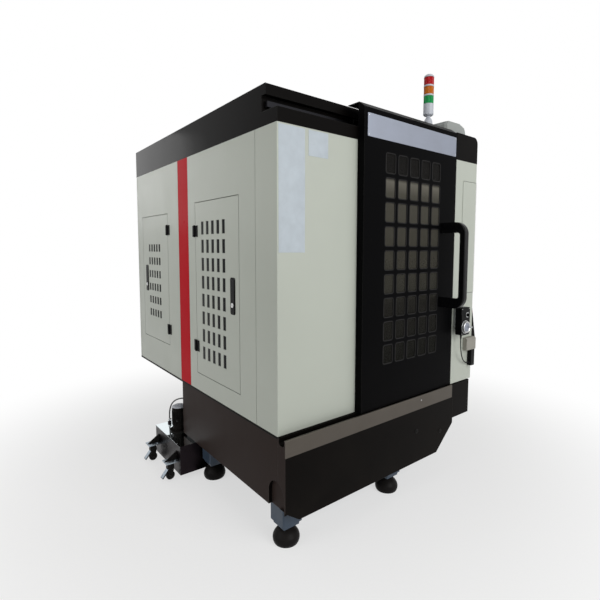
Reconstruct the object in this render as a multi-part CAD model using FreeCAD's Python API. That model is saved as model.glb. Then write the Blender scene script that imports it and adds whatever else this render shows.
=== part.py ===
import FreeCAD, Part
import math
import os

# A compact vertical machining centre: painted sheet-metal enclosure with a sliding front door, cast bed
# and column, cross table, spindle head, disc tool magazine, electrical cabinet, operator console,
# hand-held pulse generator, signal tower and a rolling coolant tank.
#
# Millimetres. The parts are laid out from the front left corner of the left front panel: X runs right
# along the front, Y runs back, Z runs up, and the floor is at height FLOOR. At the end all solids move
# together so that the origin is the middle of the footprint, on the floor.

V = FreeCAD.Vector
RIGHT = V(1, 0, 0)
BACK = V(0, 1, 0)
UP = V(0, 0, 1)
LEFT = V(-1, 0, 0)
FORWARD = V(0, -1, 0)

# Clearances
RUN_GAP = 0.3            # between a moving piece and what it passes
BORE_GAP = 0.06          # radial, shaft in a plain bearing bore
SEAM = 2.0               # visible joint between neighbouring panels
DOOR_SEAM = 3.0          # joint round a hinged door

# Enclosure
FLOOR = 48.0
WIDTH = 1445.0
DEPTH = 1823.0
BASE_HEIGHT = 598.0
PANEL_HEIGHT = 1326.0
LEDGE_HEIGHT = 61.0
RIM_HEIGHT = 176.0
CAP_HEIGHT = 46.0
CAP_SET_BACK = 86.0
TRACK_DEPTH = 116.0
SHEET = 2.0
FLANGE = 25.0
BEND_RADIUS = 3.0
ROOF_DROP = 12.0

# Front
FRONT_STEP = 42.0        # the door and the right panel stand this far ahead of the left panel
LEFT_PANEL_WIDTH = 463.0
RIGHT_PANEL_WIDTH = 219.0
CORNER_DEPTH = 170.0     # how far the front corner panels wrap round the sides
COVER_WIDTH = 140.0
COVER_BOTTOM = 1143.0
COVER_HEIGHT = 665.0
COVER_THICKNESS = 3.0
COVER_CORNER = 5.0
HEADER_HEIGHT = 153.0
HEADER_CORNER = 38.0

# Side panels, vents and stripe
STRIPE_FRONT = 906.0
STRIPE_WIDTH = 142.0
FRONT_VENT = {"y": 318.0, "z": 697.0, "width": 492.0, "height": 963.0,
              "slot_y": 141.0, "slot_z": 96.0, "slot_width": 30.0, "slot_height": 70.0,
              "pitch_y": 61.0, "pitch_z": 98.4, "columns": 5, "rows": 8,
              "hinge_inset": 158.0, "latch_inset": 47.0}
REAR_VENT = {"y": 1227.0, "z": 780.0, "width": 483.0, "height": 846.0,
             "slot_y": 143.0, "slot_z": 157.0, "slot_width": 28.0, "slot_height": 49.0,
             "pitch_y": 48.0, "pitch_z": 89.4, "columns": 5, "rows": 6,
             "hinge_inset": 105.0, "latch_inset": 60.0}
HINGE_HEIGHT = 62.0
HINGE_LEAF = 26.0
HINGE_RADIUS = 6.0
HINGE_SHEET = 3.0
LATCH_WIDTH = 36.0
LATCH_LENGTH = 170.0
LATCH_DROP = 5.0         # from the middle of the door down to the middle of the latch
LATCH_RADIUS = 8.0

# Sliding door
DOOR_THICKNESS = 40.0
DOOR_BACK_GAP = 2.0
DOOR_SKIN = 3.0
DOOR_TOP_SLOPE = 28.0
DOOR_FLANGE_DEPTH = 71.0
WINDOW_COLUMNS = 5
WINDOW_ROWS = 9
WINDOW_WIDTH = 72.0
WINDOW_HEIGHT = 97.0
WINDOW_PITCH_X = 94.6
WINDOW_PITCH_Z = 120.1
WINDOW_CORNER = 12.0
WINDOW_TOP = 1878.0
GLAZING_THICKNESS = 5.0
GLAZING_MARGIN = 18.0
NAMEPLATE_INSET = 21.0
NAMEPLATE_BOTTOM = 1937.0
NAMEPLATE_HEIGHT = 108.0
NAMEPLATE_RIGHT_INSET = 7.0
NAMEPLATE_CORNER = 4.0
NAMEPLATE_THICKNESS = 1.5
HANDLE_INSET = 102.0     # from the door's right edge
HANDLE_WIDTH = 35.0
HANDLE_BOTTOM = 1077.0
HANDLE_SPAN = 478.0
HANDLE_REACH = 158.0
HANDLE_GRIP = 38.0
HANDLE_ARM = 58.0
HANDLE_CORNER = 66.0
HANDLE_SLOT_CORNER = 14.0
HANDLE_ROUND = 7.0
RAIL_WIDTH = 28.0
RAIL_DEPTH = 20.0
RAIL_BOTTOM = 2006.0
RAIL_INSET = 17.0
RAIL_CHAMFER = 2.0
CARRIAGE_LENGTH = 90.0
CARRIAGE_WALL = 12.0
CARRIAGE_LIP = 4.0       # the runner ends this far short of the track's back
CARRIAGE_INSET = 95.0
GUIDE_FIN = 4.0
GUIDE_FIN_DEPTH = 10.0

# Sill and skirts
SILL_HEIGHT = 76.0
SILL_FRONT = 57.0
SILL_SHEET = 3.0
SILL_LIP = 9.0
GROOVE_FRONT = -48.0
GROOVE_WIDTH = 40.0
GROOVE_DEPTH = 32.0
GROOVE_CORNER = 14.0
SKIRT_SHEET = 3.0
FRONT_SKIRT_BOTTOM = 225.0
SIDE_SKIRT_BOTTOM = 265.0
RIGHT_SKIRT_BOTTOM = 375.0
SKIRT_DEPTH = 1035.0
SKIRT_OVERLAP = 12.0     # the front skirt runs on past the door's right edge
SKIRT_CHAMFER_X = 155.0
SKIRT_CHAMFER_Z = 138.0
LEFT_CHAMFER_X = 74.0
LEFT_CHAMFER_Z = 53.0
ARCH_RADIUS = 62.0
ARCH_CENTRE_Y = 12.0
ARCH_CENTRE_Z = 335.0
ARCH_DEPTH = 20.0
RIGHT_BLOCK_FRONT = 32.0

# Bed, feet and tray
TRAY_THICKNESS = 12.0
BED_LEFT = 150.0
BED_RIGHT_INSET = 305.0  # from the enclosure's right side
BED_FRONT = 30.0
BED_BACK_INSET = 15.0    # from the back of the skirts
BED_BOTTOM = 200.0
BED_REAR_BOTTOM = 270.0
BED_STEP_INSET = 163.0
BED_WALL = 45.0
WAY_HEIGHT = 640.0
WAY_HALF_WIDTH = 250.0
WAY_BACK = 705.0
TROUGH_HALF_WIDTH = 75.0
TROUGH_FLOOR = 560.0
FOOT_LEFT_X = 98.0
FOOT_FRONT_Y = 75.0
FOOT_FRONT_RIGHT_INSET = 648.0
FOOT_REAR_INSET = 223.0
FOOT_REAR_RIGHT_INSET = 295.0
EAR_SIDE = 108.0
EAR_TIP = 84.0
EAR_BOTTOM = 132.0
EAR_TAPER_TOP = 152.0
EAR_TOP = 262.0
EAR_ROUND = 8.0
PAD_RADIUS = 63.5
PAD_EDGE_HEIGHT = 38.0
PAD_DOME_HEIGHT = 72.0
STUD_RADIUS = 12.0
STUD_TOP = 175.0
NUT_ACROSS_FLATS = 36.0
NUT_HEIGHT = 11.0

# Column and axes
SPINDLE_Y = 400.0
COLUMN_FRONT = 740.0
COLUMN_BACK_INSET = 20.0
COLUMN_HALF_WIDTH = 200.0
COLUMN_FOOT_EDGE = 40.0
COLUMN_TAPER = 180.0
COLUMN_CHANNEL_HALF = 45.0
COLUMN_CHANNEL_DEPTH = 26.0
COLUMN_FRONT_WALL = 60.0
CHANNEL_START = 60.0     # the screw's channel starts this far below the guides
GUIDE_CHAMFER = 3.0
COLUMN_FOOT_HALF_WIDTH = 270.0
COLUMN_TOP = 1900.0
COLUMN_WALL = 32.0
GUIDE_WIDTH = 28.0
GUIDE_HEIGHT = 25.0
BLOCK_HEIGHT = 17.0      # how far a carriage block stands past the top of its guide
BLOCK_WIDTH = 62.0
BLOCK_LENGTH = 84.0
BLOCK_FOOT = 6.0         # a carriage block's skirts end this far above the guide's foot
END_MARGIN = 6.0         # a carriage block stops this far short of the end of its guide
Y_GUIDE_SPREAD = 170.0
Y_GUIDE_FRONT = 90.0
Y_GUIDE_BACK = 700.0
Z_GUIDE_SPREAD = 95.0
Z_GUIDE_BOTTOM = 920.0
Z_GUIDE_TOP = 1860.0
SADDLE_HALF_LENGTH = 350.0
SADDLE_HALF_WIDTH = 145.0
SADDLE_THICKNESS = 58.0
SADDLE_TROUGH_GAP = 6.0
SADDLE_FLOOR = 18.0
X_GUIDE_SPREAD = 105.0
TABLE_LENGTH = 650.0
TABLE_WIDTH = 320.0
TABLE_THICKNESS = 58.0
SLOT_NECK = 14.0
SLOT_HEAD = 24.0
SLOT_NECK_DEPTH = 13.0
SLOT_HEAD_DEPTH = 11.0
SLOT_PITCH = 90.0
SLOT_COUNT = 3
X_TRAVEL = 200.0         # each way; no shape depends on the others: Y 115 each way, Z 400 down, door 455 left
SCREW_RADIUS = 14.0
SCREW_JOURNAL = 9.0
JOURNAL_LENGTH = 24.0
MOTOR_SIDE = 86.0
MOTOR_LENGTH = 120.0
MOTOR_CAP = 70.0
MOTOR_CAP_HEIGHT = 28.0
MOTOR_FLANGE = 10.0
MOTOR_FLANGE_LIP = 3.0
MOTOR_ROUND = 8.0
MOTOR_CAN_ROUND = 14.0
COUPLING_GAP = 1.0
SCREW_START_GAP = 15.0   # the Y motor keeps this far behind the front of its guides
BEARING_HALF = 34.0
BEARING_TRIM = 4.0
BEARING_FORWARD = 8.0
NUT_RADIUS = 24.0
NUT_WALL = 8.0
NUT_HALF_LENGTH = 30.0

# Spindle head
HEAD_HALF_WIDTH = 108.0  # clear width for the head, kept free by the magazine
HEAD_NOSE_Z = 1340.0
HEAD_BOTTOM = 1400.0
HEAD_TOP = 1720.0
HEAD_FRONT_RADIUS = 95.0
QUILL_RADIUS = 60.0
SPINDLE_RADIUS = 36.0
SPINDLE_TIP = 30.0
HOLDER_LENGTH = 62.0
HOLDER_FLANGE_RADIUS = 23.0
SPINDLE_MOTOR_SIDE = 150.0
SPINDLE_MOTOR_HEIGHT = 215.0
SPINDLE_MOTOR_ROUND = 22.0
FAN_COWL_STEP = 8.0
FAN_COWL_HEIGHT = 34.0
HEAD_WEB_HALF = 92.0
HEAD_PLATE = 40.0
HEAD_PLATE_TRIM = 18.0
HEAD_CHIN = 30.0
HEAD_HEEL = 20.0
HEAD_FOOT = 60.0
SOCKET_MOUTH = 16.0
SOCKET_DEPTH = 48.0
SOCKET_TAPER = 7 / 48    # radius lost for each millimetre of depth
DRAWBAR_RADIUS = 7.0
SPINDLE_END_GAP = 40.0
HOLDER_GAP = 0.2
TOOL_RADIUS = 5.0
TOOL_OUT = 22.0

# Tool magazine
MAGAZINE_TRAVEL = 196.0
TOOL_CIRCLE = 190.0
TOOL_COUNT = 12
DISC_RADIUS = 160.0
DISC_THICKNESS = 20.0
DISC_TOP = 1228.0
FINGER_THICKNESS = 12.0
FINGER_GAP = 34.0
HUB_RADIUS = 54.0
HUB_TOP = 1345.0
SLIDE_HALF_LENGTH = 66.0
SLIDE_THICKNESS = 22.0
SLIDE_RAIL_SPREAD = 60.0
SLIDE_RAIL = 16.0
BEAM_THICKNESS = 22.0
BEAM_LEFT = 205.0
BEAM_HALF_DEPTH = 90.0
BEAM_HEAD_GAP = 12.0
BEAM_ARM_WIDTH = 120.0
BEAM_RIB_WIDTH = 20.0
BEAM_RIB_HEIGHT = 110.0
BEAM_BACK_GAP = 60.0
SLIDE_HALF_DEPTH = 85.0
KEEPER_HEIGHT = 12.0
GEAR_MOTOR_OUT = 98.0
GEAR_MOTOR_RADIUS = 30.0
GEAR_MOTOR_LENGTH = 98.0
GEAR_MOTOR_RISE = 20.0
SHELF_HALF_DEPTH = 32.0
SHELF_THICKNESS = 12.0
FINGER_OVERLAP = 14.0

# Cabinet at the back
PARTITION_GAP = 15.0     # behind the back of the skirts
LINER_SIDE_GAP = 58.0
CABINET_DOOR = {"x": 300.0, "width": 845.0, "height": 1120.0, "hinge_inset": 165.0}
MOUNTING_PLATE_Y = 1330.0
MOUNTING_PLATE_THICKNESS = 4.0
DRIVE_WIDTH = 62.0
DRIVE_HEIGHT = 230.0
DRIVE_DEPTH = 150.0
DRIVE_PITCH = 78.0
DRIVE_COUNT = 4
SWITCH_RADIUS = 30.0
SWITCH_GRIP = 14.0
SWITCH_INSET = 120.0
SWITCH_Z = 1500.0

# Signal tower and roof cowl
TOWER_INSET = 255.0      # from the enclosure's right side
TOWER_Y = 137.0
TOWER_RADIUS = 30.0
TOWER_STEM_RADIUS = 11.0
TOWER_FOOT_RADIUS = 32.0
TOWER_BODY_BOTTOM = 2203.0
TOWER_BODY_HEIGHT = 68.0
LENS_HEIGHT = 45.0
LENS_RING = 9.0
TOWER_CAP = 17.0
COWL_FRONT = 40.0
COWL_BACK = 250.0
COWL_SLOPE = 16.0
# inset from the right, height
COWL_FACE = [(199, 0), (199, 46), (187, 66), (75, 68), (21, 50), (9, 25), (9, 0)]

# Console and pulse generator
CONSOLE_WIDTH = 400.0
CONSOLE_BOTTOM = 735.0
CONSOLE_TOP = 1480.0
CONSOLE_FRONT_LOW = 157.0
CONSOLE_FRONT_HIGH = 257.0
CONSOLE_BACK = 350.0
CONSOLE_PLATE = 5.0
CONSOLE_PLATE_FRONT = 110.0
CONSOLE_PLATE_INSET = 40.0
CONSOLE_CORNER = 14.0
CONSOLE_WALL = 5.0
SCREEN_WIDTH = 250.0
SCREEN_HEIGHT = 190.0
SCREEN_BOTTOM = 1235.0
SCREEN_SINK = 6.0
SCREEN_THICKNESS = 4.0
KEY_COLUMNS = 8
KEY_ROWS = 4
KEY_WIDTH = 28.0
KEY_HEIGHT = 22.0
KEY_PITCH_X = 36.0
KEY_PITCH_Z = 30.0
KEY_LEFT = 62.0
KEY_BOTTOM = 1090.0
KEY_RISE = 4.0
CABLE_BOX_LEFT = 1347.0
CABLE_BOX_RIGHT = 1448.0
CABLE_BOX_FRONT = -70.0
CABLE_BOX_BOTTOM = 789.0
CABLE_BOX_TOP = 865.0
CABLE_BOX_SLOPE = 8.0
STOP_PLACE = (330.0, 965.0)   # across the console, height
START_PLACE = (70.0, 965.0)
KNOB_PLACE = (200.0, 965.0)
STOP_STEM = 9.0
BUTTON_STEM = 8.0
KNOB_STEM = 4.0
STOP_RADIUS = 20.0
STOP_TRAVEL = 6.0
BUTTON_RADIUS = 14.0
BUTTON_TRAVEL = 3.0
KNOB_RADIUS = 19.0
PENDANT_LEFT = 1225.0
PENDANT_WIDTH = 88.0
PENDANT_BOTTOM = 902.0
PENDANT_HEIGHT = 164.0
PENDANT_FRONT = -105.0
PENDANT_BACK = -65.0
PENDANT_CORNER = 12.0
WAIST_OUT = 108.0
WAIST_RISE = 96.0
WAIST_RADIUS = 112.0
HANGER_WIDTH = 48.0
HANGER_LIP_WIDTH = 28.0
HANGER_STANDOFF = 14.0
HANGER_DROP = 120.0
HANGER_RISE = 16.0
HANGER_LIP = 4.0
HANGER_CORNER = 6.0
WHEEL_RADIUS = 34.0
WHEEL_X = 1268.0
WHEEL_Z = 950.0
WHEEL_THICKNESS = 14.0
WHEEL_SHAFT = 5.0
WHEEL_SHAFT_LENGTH = 18.0
DIAL_X = 1287.0
DIAL_Z = 1020.0
DIAL_RADIUS = 10.0
DIAL_SHAFT = 3.0
DIAL_SHAFT_LENGTH = 12.0
CORD_DIAMETER = 6.0
CORD_GLAND_LEFT = 1400.0
CORD_GLAND_WIDTH = 40.0
CORD_GLAND_BOTTOM = 688.0
CORD_GLAND_CHAMFER = 3.0
CORD_ROUTE = [(1255, -85, 902), (1255, -85, 872), (1258, -84, 838), (1267, -81, 804), (1282, -77, 772),
              (1304, -71, 744), (1332, -65, 723), (1363, -60, 711), (1383, -58, 708), (1400, -58, 708)]

# Coolant tank
TANK_LEFT = -85.0
TANK_RIGHT = 620.0
TANK_FRONT_INSET = 155.0
TANK_REACH = 249.0       # how far the tank stands out behind the skirts
TANK_BOTTOM = 79.0
TANK_TOP = 253.0
TANK_SHEET = 2.0
TANK_RIM = 10.0
TANK_LID = 250.0         # the lid covers this much of the left end; the rest is open below the bed
PUMP_X = 8.0
PUMP_BEHIND = 85.0
PUMP_RADIUS = 42.0
PUMP_TOP = 411.0
PUMP_FLANGE = 58.0
PUMP_FLANGE_HEIGHT = 8.0
PUMP_CAP = 26.0
HOSE_DIAMETER = 9.0
HOSE_FITTING_HEIGHT = 14.0
HOSE_FITTING_WIDTH = 21.6
HOSE_COURSE = [(0, 233, 267), (0, 233, 312), (3, 231, 348), (14, 222, 385), (34, 195, 413), (62, 149, 429),
               # y from the skirts' back
               (96, 95, 432), (128, 58, 425), (148, 40, 418), (154, 22, 415), (154, 0, 415)]
CASTER_WHEEL_RADIUS = 25.0
CASTER_WHEEL_WIDTH = 20.0
CASTER_OUT = 40.0
CASTER_PLATE = 6.0
CASTER_PLATE_HALF = 34.0
CASTER_RISE = 56.0       # from the top of the wheel to the plate
CASTER_GUSSET = 56.0
CASTER_CHEEK = 3.0
CASTER_INSETS = (58.0, 49.0)
PEDAL_LENGTH = 78.0
PEDAL_WIDTH = 30.0
PEDAL_THICKNESS = 6.0
PEDAL_ANGLE = 52.0

# Heights and edges that follow from the sizes above
Z_BAND = BASE_HEIGHT + PANEL_HEIGHT
Z_LEDGE = Z_BAND + LEDGE_HEIGHT
Z_TOP = Z_BAND + RIM_HEIGHT
Z_ROOF = Z_TOP - ROOF_DROP
Z_TRAY = BASE_HEIGHT - TRAY_THICKNESS
DOOR_LEFT = LEFT_PANEL_WIDTH + SEAM
DOOR_RIGHT = WIDTH - RIGHT_PANEL_WIDTH - 2 * SEAM
DOOR_BOTTOM = BASE_HEIGHT + DOOR_SEAM
SKIRT_RIGHT = DOOR_RIGHT + SKIRT_OVERLAP
DOOR_TOP = Z_TOP - SEAM
STRIPE_BACK = STRIPE_FRONT + STRIPE_WIDTH
WINDOW_SPAN = (WINDOW_COLUMNS - 1) * WINDOW_PITCH_X + WINDOW_WIDTH
WINDOW_LEFT = (DOOR_RIGHT - DOOR_LEFT - WINDOW_SPAN) / 2
NAMEPLATE_WIDTH = DOOR_RIGHT - DOOR_LEFT - NAMEPLATE_INSET - NAMEPLATE_RIGHT_INSET
CABINET_DOOR["z"] = BASE_HEIGHT + (PANEL_HEIGHT - CABINET_DOOR["height"]) / 2
AXIS_X = WIDTH / 2       # centre plane of bed, column and spindle
TOWER_X = WIDTH - TOWER_INSET
BED_RIGHT = WIDTH - BED_RIGHT_INSET
BED_BACK = SKIRT_DEPTH - BED_BACK_INSET
BED_STEP_Y = SKIRT_DEPTH - BED_STEP_INSET
COLUMN_BACK = SKIRT_DEPTH - COLUMN_BACK_INSET
PARTITION_Y = SKIRT_DEPTH + PARTITION_GAP
TANK_FRONT = SKIRT_DEPTH - TANK_FRONT_INSET
TANK_BACK = SKIRT_DEPTH + TANK_REACH
PUMP_Y = SKIRT_DEPTH + PUMP_BEHIND
CASTER_Y = (TANK_FRONT + CASTER_INSETS[0], TANK_BACK - CASTER_INSETS[1])
HOSE_ROUTE = [(x, SKIRT_DEPTH + behind, z) for x, behind, z in HOSE_COURSE]
Y_GUIDE_TOP = WAY_HEIGHT + GUIDE_HEIGHT
SADDLE_BOTTOM = Y_GUIDE_TOP + BLOCK_HEIGHT
SADDLE_TOP = SADDLE_BOTTOM + SADDLE_THICKNESS
TABLE_BOTTOM = SADDLE_TOP + GUIDE_HEIGHT + BLOCK_HEIGHT
TABLE_TOP = TABLE_BOTTOM + TABLE_THICKNESS
Y_SCREW_Z = TROUGH_FLOOR + 55.0
X_SCREW_Z = SADDLE_TOP - 6.0
HEAD_BACK = COLUMN_FRONT - GUIDE_HEIGHT - BLOCK_HEIGHT
Z_SCREW_Y = COLUMN_FRONT - 40.0
DISC_X = AXIS_X - TOOL_CIRCLE - MAGAZINE_TRAVEL
BEAM_BOTTOM = HUB_TOP + SLIDE_THICKNESS + SLIDE_RAIL + 2 * RUN_GAP
CONSOLE_LEFT = WIDTH + CONSOLE_PLATE
FOOT_REAR_Y = SKIRT_DEPTH - FOOT_REAR_INSET
FEET = [(FOOT_LEFT_X, FOOT_FRONT_Y), (WIDTH - FOOT_FRONT_RIGHT_INSET, FOOT_FRONT_Y),
        (FOOT_LEFT_X, FOOT_REAR_Y), (WIDTH - FOOT_REAR_RIGHT_INSET, FOOT_REAR_Y)]


# --- shape helpers -------------------------------------------------------------------------------------

def box(x0, y0, z0, x1, y1, z1):
    return Part.makeBox(x1 - x0, y1 - y0, z1 - z0, V(x0, y0, z0))


def rod(start, axis, radius, length):
    return Part.makeCylinder(radius, length, V(*start), axis)


def prism(points, depth):
    """A closed outline of (x, y, z) points pushed along the vector depth."""
    loop = [V(*point) for point in points]
    face = Part.Face(Part.makePolygon(loop + loop[:1]))
    return face.extrude(depth)


def turned(profile, place, axis=UP):
    """An outline of (radius, height) points turned about the line through place along axis."""
    loop = [V(radius, 0, height) for radius, height in profile]
    face = Part.Face(Part.makePolygon(loop + loop[:1]))
    solid = face.revolve(V(0, 0, 0), UP, 360)
    solid.Placement = FreeCAD.Placement(V(*place), FreeCAD.Rotation(UP, axis))
    return solid


def edges_along(shape, axis):
    """The straight edges of shape that run along axis."""
    chosen = []
    for edge in shape.Edges:
        if edge.Curve.TypeId == "Part::GeomLine":
            if abs(abs(edge.tangentAt(edge.FirstParameter).dot(axis)) - 1) < 1e-6:
                chosen.append(edge)
    return chosen


def rounded_box(x0, y0, z0, x1, y1, z1, radius, axis):
    """A box whose edges along axis are rounded."""
    solid = box(x0, y0, z0, x1, y1, z1)
    return solid.makeFillet(radius, edges_along(solid, axis))


def tray(x0, y0, z0, x1, y1, z1, open_side, wall):
    """A folded sheet pan: a box that is hollow and open towards open_side."""
    inner = [x0 + wall, y0 + wall, z0 + wall, x1 - wall, y1 - wall, z1 - wall]
    for index, part in enumerate(open_side):
        if part > 0:
            inner[index + 3] += 2 * wall
        if part < 0:
            inner[index] -= 2 * wall
    return box(x0, y0, z0, x1, y1, z1).cut(box(*inner))


def folded(points, depth, radius):
    """A bent sheet section pushed along depth, with its first corner rounded."""
    solid = prism(points, depth)
    corner = V(*points[0])
    long_edges = [e for e in solid.Edges if e.Length > depth.Length - 1]
    bends = [e for e in long_edges if e.Vertexes[0].Point.distanceToLine(corner, depth) < 1e-6]
    return solid.makeFillet(radius, bends)


def tube_path(points):
    """Straight runs joined by tangent arcs; returns the wire and the arc radii."""
    nodes = [V(*point) for point in points]
    edges = []
    radii = []
    start = nodes[0]
    for before, corner, after in zip(nodes, nodes[1:], nodes[2:]):
        run_in = corner - before
        run_out = after - corner
        turn = run_in.getAngle(run_out)
        setback = 0.45 * min(run_in.Length, run_out.Length)
        towards = V(run_in).normalize()
        onwards = V(run_out).normalize()
        arc_start = corner - towards * setback
        arc_end = corner + onwards * setback
        radius = setback / math.tan(turn / 2)
        inward = (onwards - towards).normalize()
        middle = corner + inward * (radius / math.cos(turn / 2) - radius)
        edges.append(Part.makeLine(start, arc_start))
        edges.append(Part.Arc(arc_start, middle, arc_end).toShape())
        radii.append(radius)
        start = arc_end
    edges.append(Part.makeLine(start, nodes[-1]))
    return Part.Wire(edges), radii


def tube(points, diameter, label):
    """A round tube along tube_path, with its length, radii and volume printed."""
    path, radii = tube_path(points)
    first = path.Edges[0]
    circle = Part.Circle(first.valueAt(first.FirstParameter), first.tangentAt(first.FirstParameter),
                         diameter / 2)
    solid = path.makePipeShell([Part.Wire(circle.toShape())], True, False)
    section = math.pi * diameter ** 2 / 4
    print(label, "length", round(path.Length, 1), "radii", [round(radius) for radius in radii],
          "volume ratio", round(solid.Volume / (section * path.Length), 4))
    return solid


def hexagon_nut(place, across_flats, height, bore):
    corner = across_flats / math.sqrt(3)
    points = []
    for index in range(6):
        angle = math.radians(60 * index)
        points.append((place[0] + corner * math.cos(angle), place[1] + corner * math.sin(angle), place[2]))
    return prism(points, UP * height).cut(rod(place, UP, bore, height))


# --- base ----------------------------------------------------------------------------------------------

def make_bed():
    """Cast bed: stepped underside, raised ways with a screw trough, and a bolted bracket over each foot."""
    side = [(BED_LEFT, BED_FRONT, BED_BOTTOM), (BED_LEFT, BED_STEP_Y, BED_BOTTOM),
            (BED_LEFT, BED_STEP_Y, BED_REAR_BOTTOM), (BED_LEFT, BED_BACK, BED_REAR_BOTTOM),
            (BED_LEFT, BED_BACK, Z_TRAY), (BED_LEFT, BED_FRONT, Z_TRAY)]
    body = prism(side, RIGHT * (BED_RIGHT - BED_LEFT))
    ways = box(AXIS_X - WAY_HALF_WIDTH, BED_FRONT + BED_WALL, Z_TRAY,
               AXIS_X + WAY_HALF_WIDTH, WAY_BACK, WAY_HEIGHT)
    seat = box(AXIS_X - COLUMN_FOOT_HALF_WIDTH, WAY_BACK, Z_TRAY, AXIS_X + COLUMN_FOOT_HALF_WIDTH,
               COLUMN_BACK, BASE_HEIGHT + SHEET)
    body = body.fuse([ways, seat])
    trough = box(AXIS_X - TROUGH_HALF_WIDTH, BED_FRONT, TROUGH_FLOOR,
                 AXIS_X + TROUGH_HALF_WIDTH, WAY_BACK, WAY_HEIGHT)
    hollow = box(BED_LEFT + BED_WALL, BED_FRONT + BED_WALL, BED_REAR_BOTTOM + BED_WALL,
                 BED_RIGHT - BED_WALL, BED_BACK - BED_WALL, TROUGH_FLOOR - BED_WALL)
    body = body.cut([trough, hollow])
    brackets = [make_foot_bracket(x, y) for x, y in FEET]
    pockets = [box(x - EAR_SIDE / 2, y - EAR_SIDE / 2, EAR_BOTTOM, x + EAR_SIDE / 2, y + EAR_SIDE / 2,
                   EAR_TOP)
               for x, y in FEET]
    return [body.cut(pockets).removeSplitter()] + brackets


def make_foot_bracket(x, y):
    """A square block that tapers to the levelling screw, let into the bed's edge."""
    half = EAR_SIDE / 2
    block = rounded_box(x - half, y - half, EAR_TAPER_TOP, x + half, y + half, EAR_TOP, EAR_ROUND, UP)
    wide = square_wire(x, y, EAR_TAPER_TOP, half - EAR_ROUND)
    narrow = square_wire(x, y, EAR_BOTTOM, EAR_TIP / 2)
    taper = Part.makeLoft([narrow, wide], True, True)
    screw_hole = rod((x, y, EAR_BOTTOM), UP, STUD_RADIUS + RUN_GAP, STUD_TOP - EAR_BOTTOM + RUN_GAP)
    return block.fuse(taper).cut(screw_hole)


def square_wire(x, y, z, half):
    corners = [V(x - half, y - half, z), V(x + half, y - half, z),
               V(x + half, y + half, z), V(x - half, y + half, z)]
    return Part.makePolygon(corners + corners[:1])


def make_levelling_feet():
    """Round domed pads, each with its stud and a lock nut under the ear."""
    r, stud, edge, dome = PAD_RADIUS, STUD_RADIUS, PAD_EDGE_HEIGHT, PAD_DOME_HEIGHT
    stud_top = STUD_TOP - FLOOR
    solids = []
    for x, y in FEET:
        edges = [Part.makeLine(V(0, 0, 0), V(0.9 * r, 0, 0)),
                 Part.Arc(V(0.9 * r, 0, 0), V(r, 0, edge / 2), V(0.95 * r, 0, edge)).toShape(),
                 Part.Arc(V(0.95 * r, 0, edge), V(0.68 * r, 0, 0.84 * dome), V(2 * stud, 0, dome)).toShape(),
                 Part.makeLine(V(2 * stud, 0, dome), V(stud, 0, dome)),
                 Part.makeLine(V(stud, 0, dome), V(stud, 0, stud_top)),
                 Part.makeLine(V(stud, 0, stud_top), V(0, 0, stud_top)),
                 Part.makeLine(V(0, 0, stud_top), V(0, 0, 0))]
        pad = Part.Face(Part.Wire(edges)).revolve(V(0, 0, 0), UP, 360)
        pad.translate(V(x, y, FLOOR))
        nut = hexagon_nut((x, y, EAR_BOTTOM - NUT_HEIGHT), NUT_ACROSS_FLATS, NUT_HEIGHT,
                          STUD_RADIUS + RUN_GAP)
        solids += [pad, nut]
    return solids


def make_base_tray():
    """Sheet floor of the enclosure, laid round the bed's ways and the column seat."""
    left = box(0, 0, Z_TRAY, AXIS_X - WAY_HALF_WIDTH - SEAM, SKIRT_DEPTH, BASE_HEIGHT)
    left = left.cut(box(AXIS_X - COLUMN_FOOT_HALF_WIDTH - SEAM, WAY_BACK - SEAM, Z_TRAY,
                        AXIS_X, COLUMN_BACK + SEAM, BASE_HEIGHT))
    right = box(AXIS_X + WAY_HALF_WIDTH + SEAM, 0, Z_TRAY, WIDTH, SKIRT_DEPTH, BASE_HEIGHT)
    right = right.cut(box(AXIS_X, WAY_BACK - SEAM, Z_TRAY,
                          AXIS_X + COLUMN_FOOT_HALF_WIDTH + SEAM, COLUMN_BACK + SEAM, BASE_HEIGHT))
    front = box(AXIS_X - WAY_HALF_WIDTH - SEAM, 0, Z_TRAY, AXIS_X + WAY_HALF_WIDTH + SEAM,
                BED_FRONT + BED_WALL - SEAM, BASE_HEIGHT)
    back = box(0, SKIRT_DEPTH, Z_TRAY, WIDTH, DEPTH, BASE_HEIGHT)
    return [left, right, front, back]


def arch_cutter(x, length, inset=0.0):
    """The round-topped access arch in the left skirt, drawn in by inset and pushed right from x."""
    radius = ARCH_RADIUS - inset
    round_top = rod((x, ARCH_CENTRE_Y, ARCH_CENTRE_Z), RIGHT, radius, length)
    foot = box(x, ARCH_CENTRE_Y - radius, FRONT_SKIRT_BOTTOM - SKIRT_SHEET,
               x + length, ARCH_CENTRE_Y + radius, ARCH_CENTRE_Z)
    return round_top.fuse(foot)


def corner_run(across, rise):
    """How much further in the inside of a cut-off corner starts, for a sheet of the skirt's thickness."""
    return SKIRT_SHEET * (math.hypot(across, rise) - across) / rise


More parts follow.
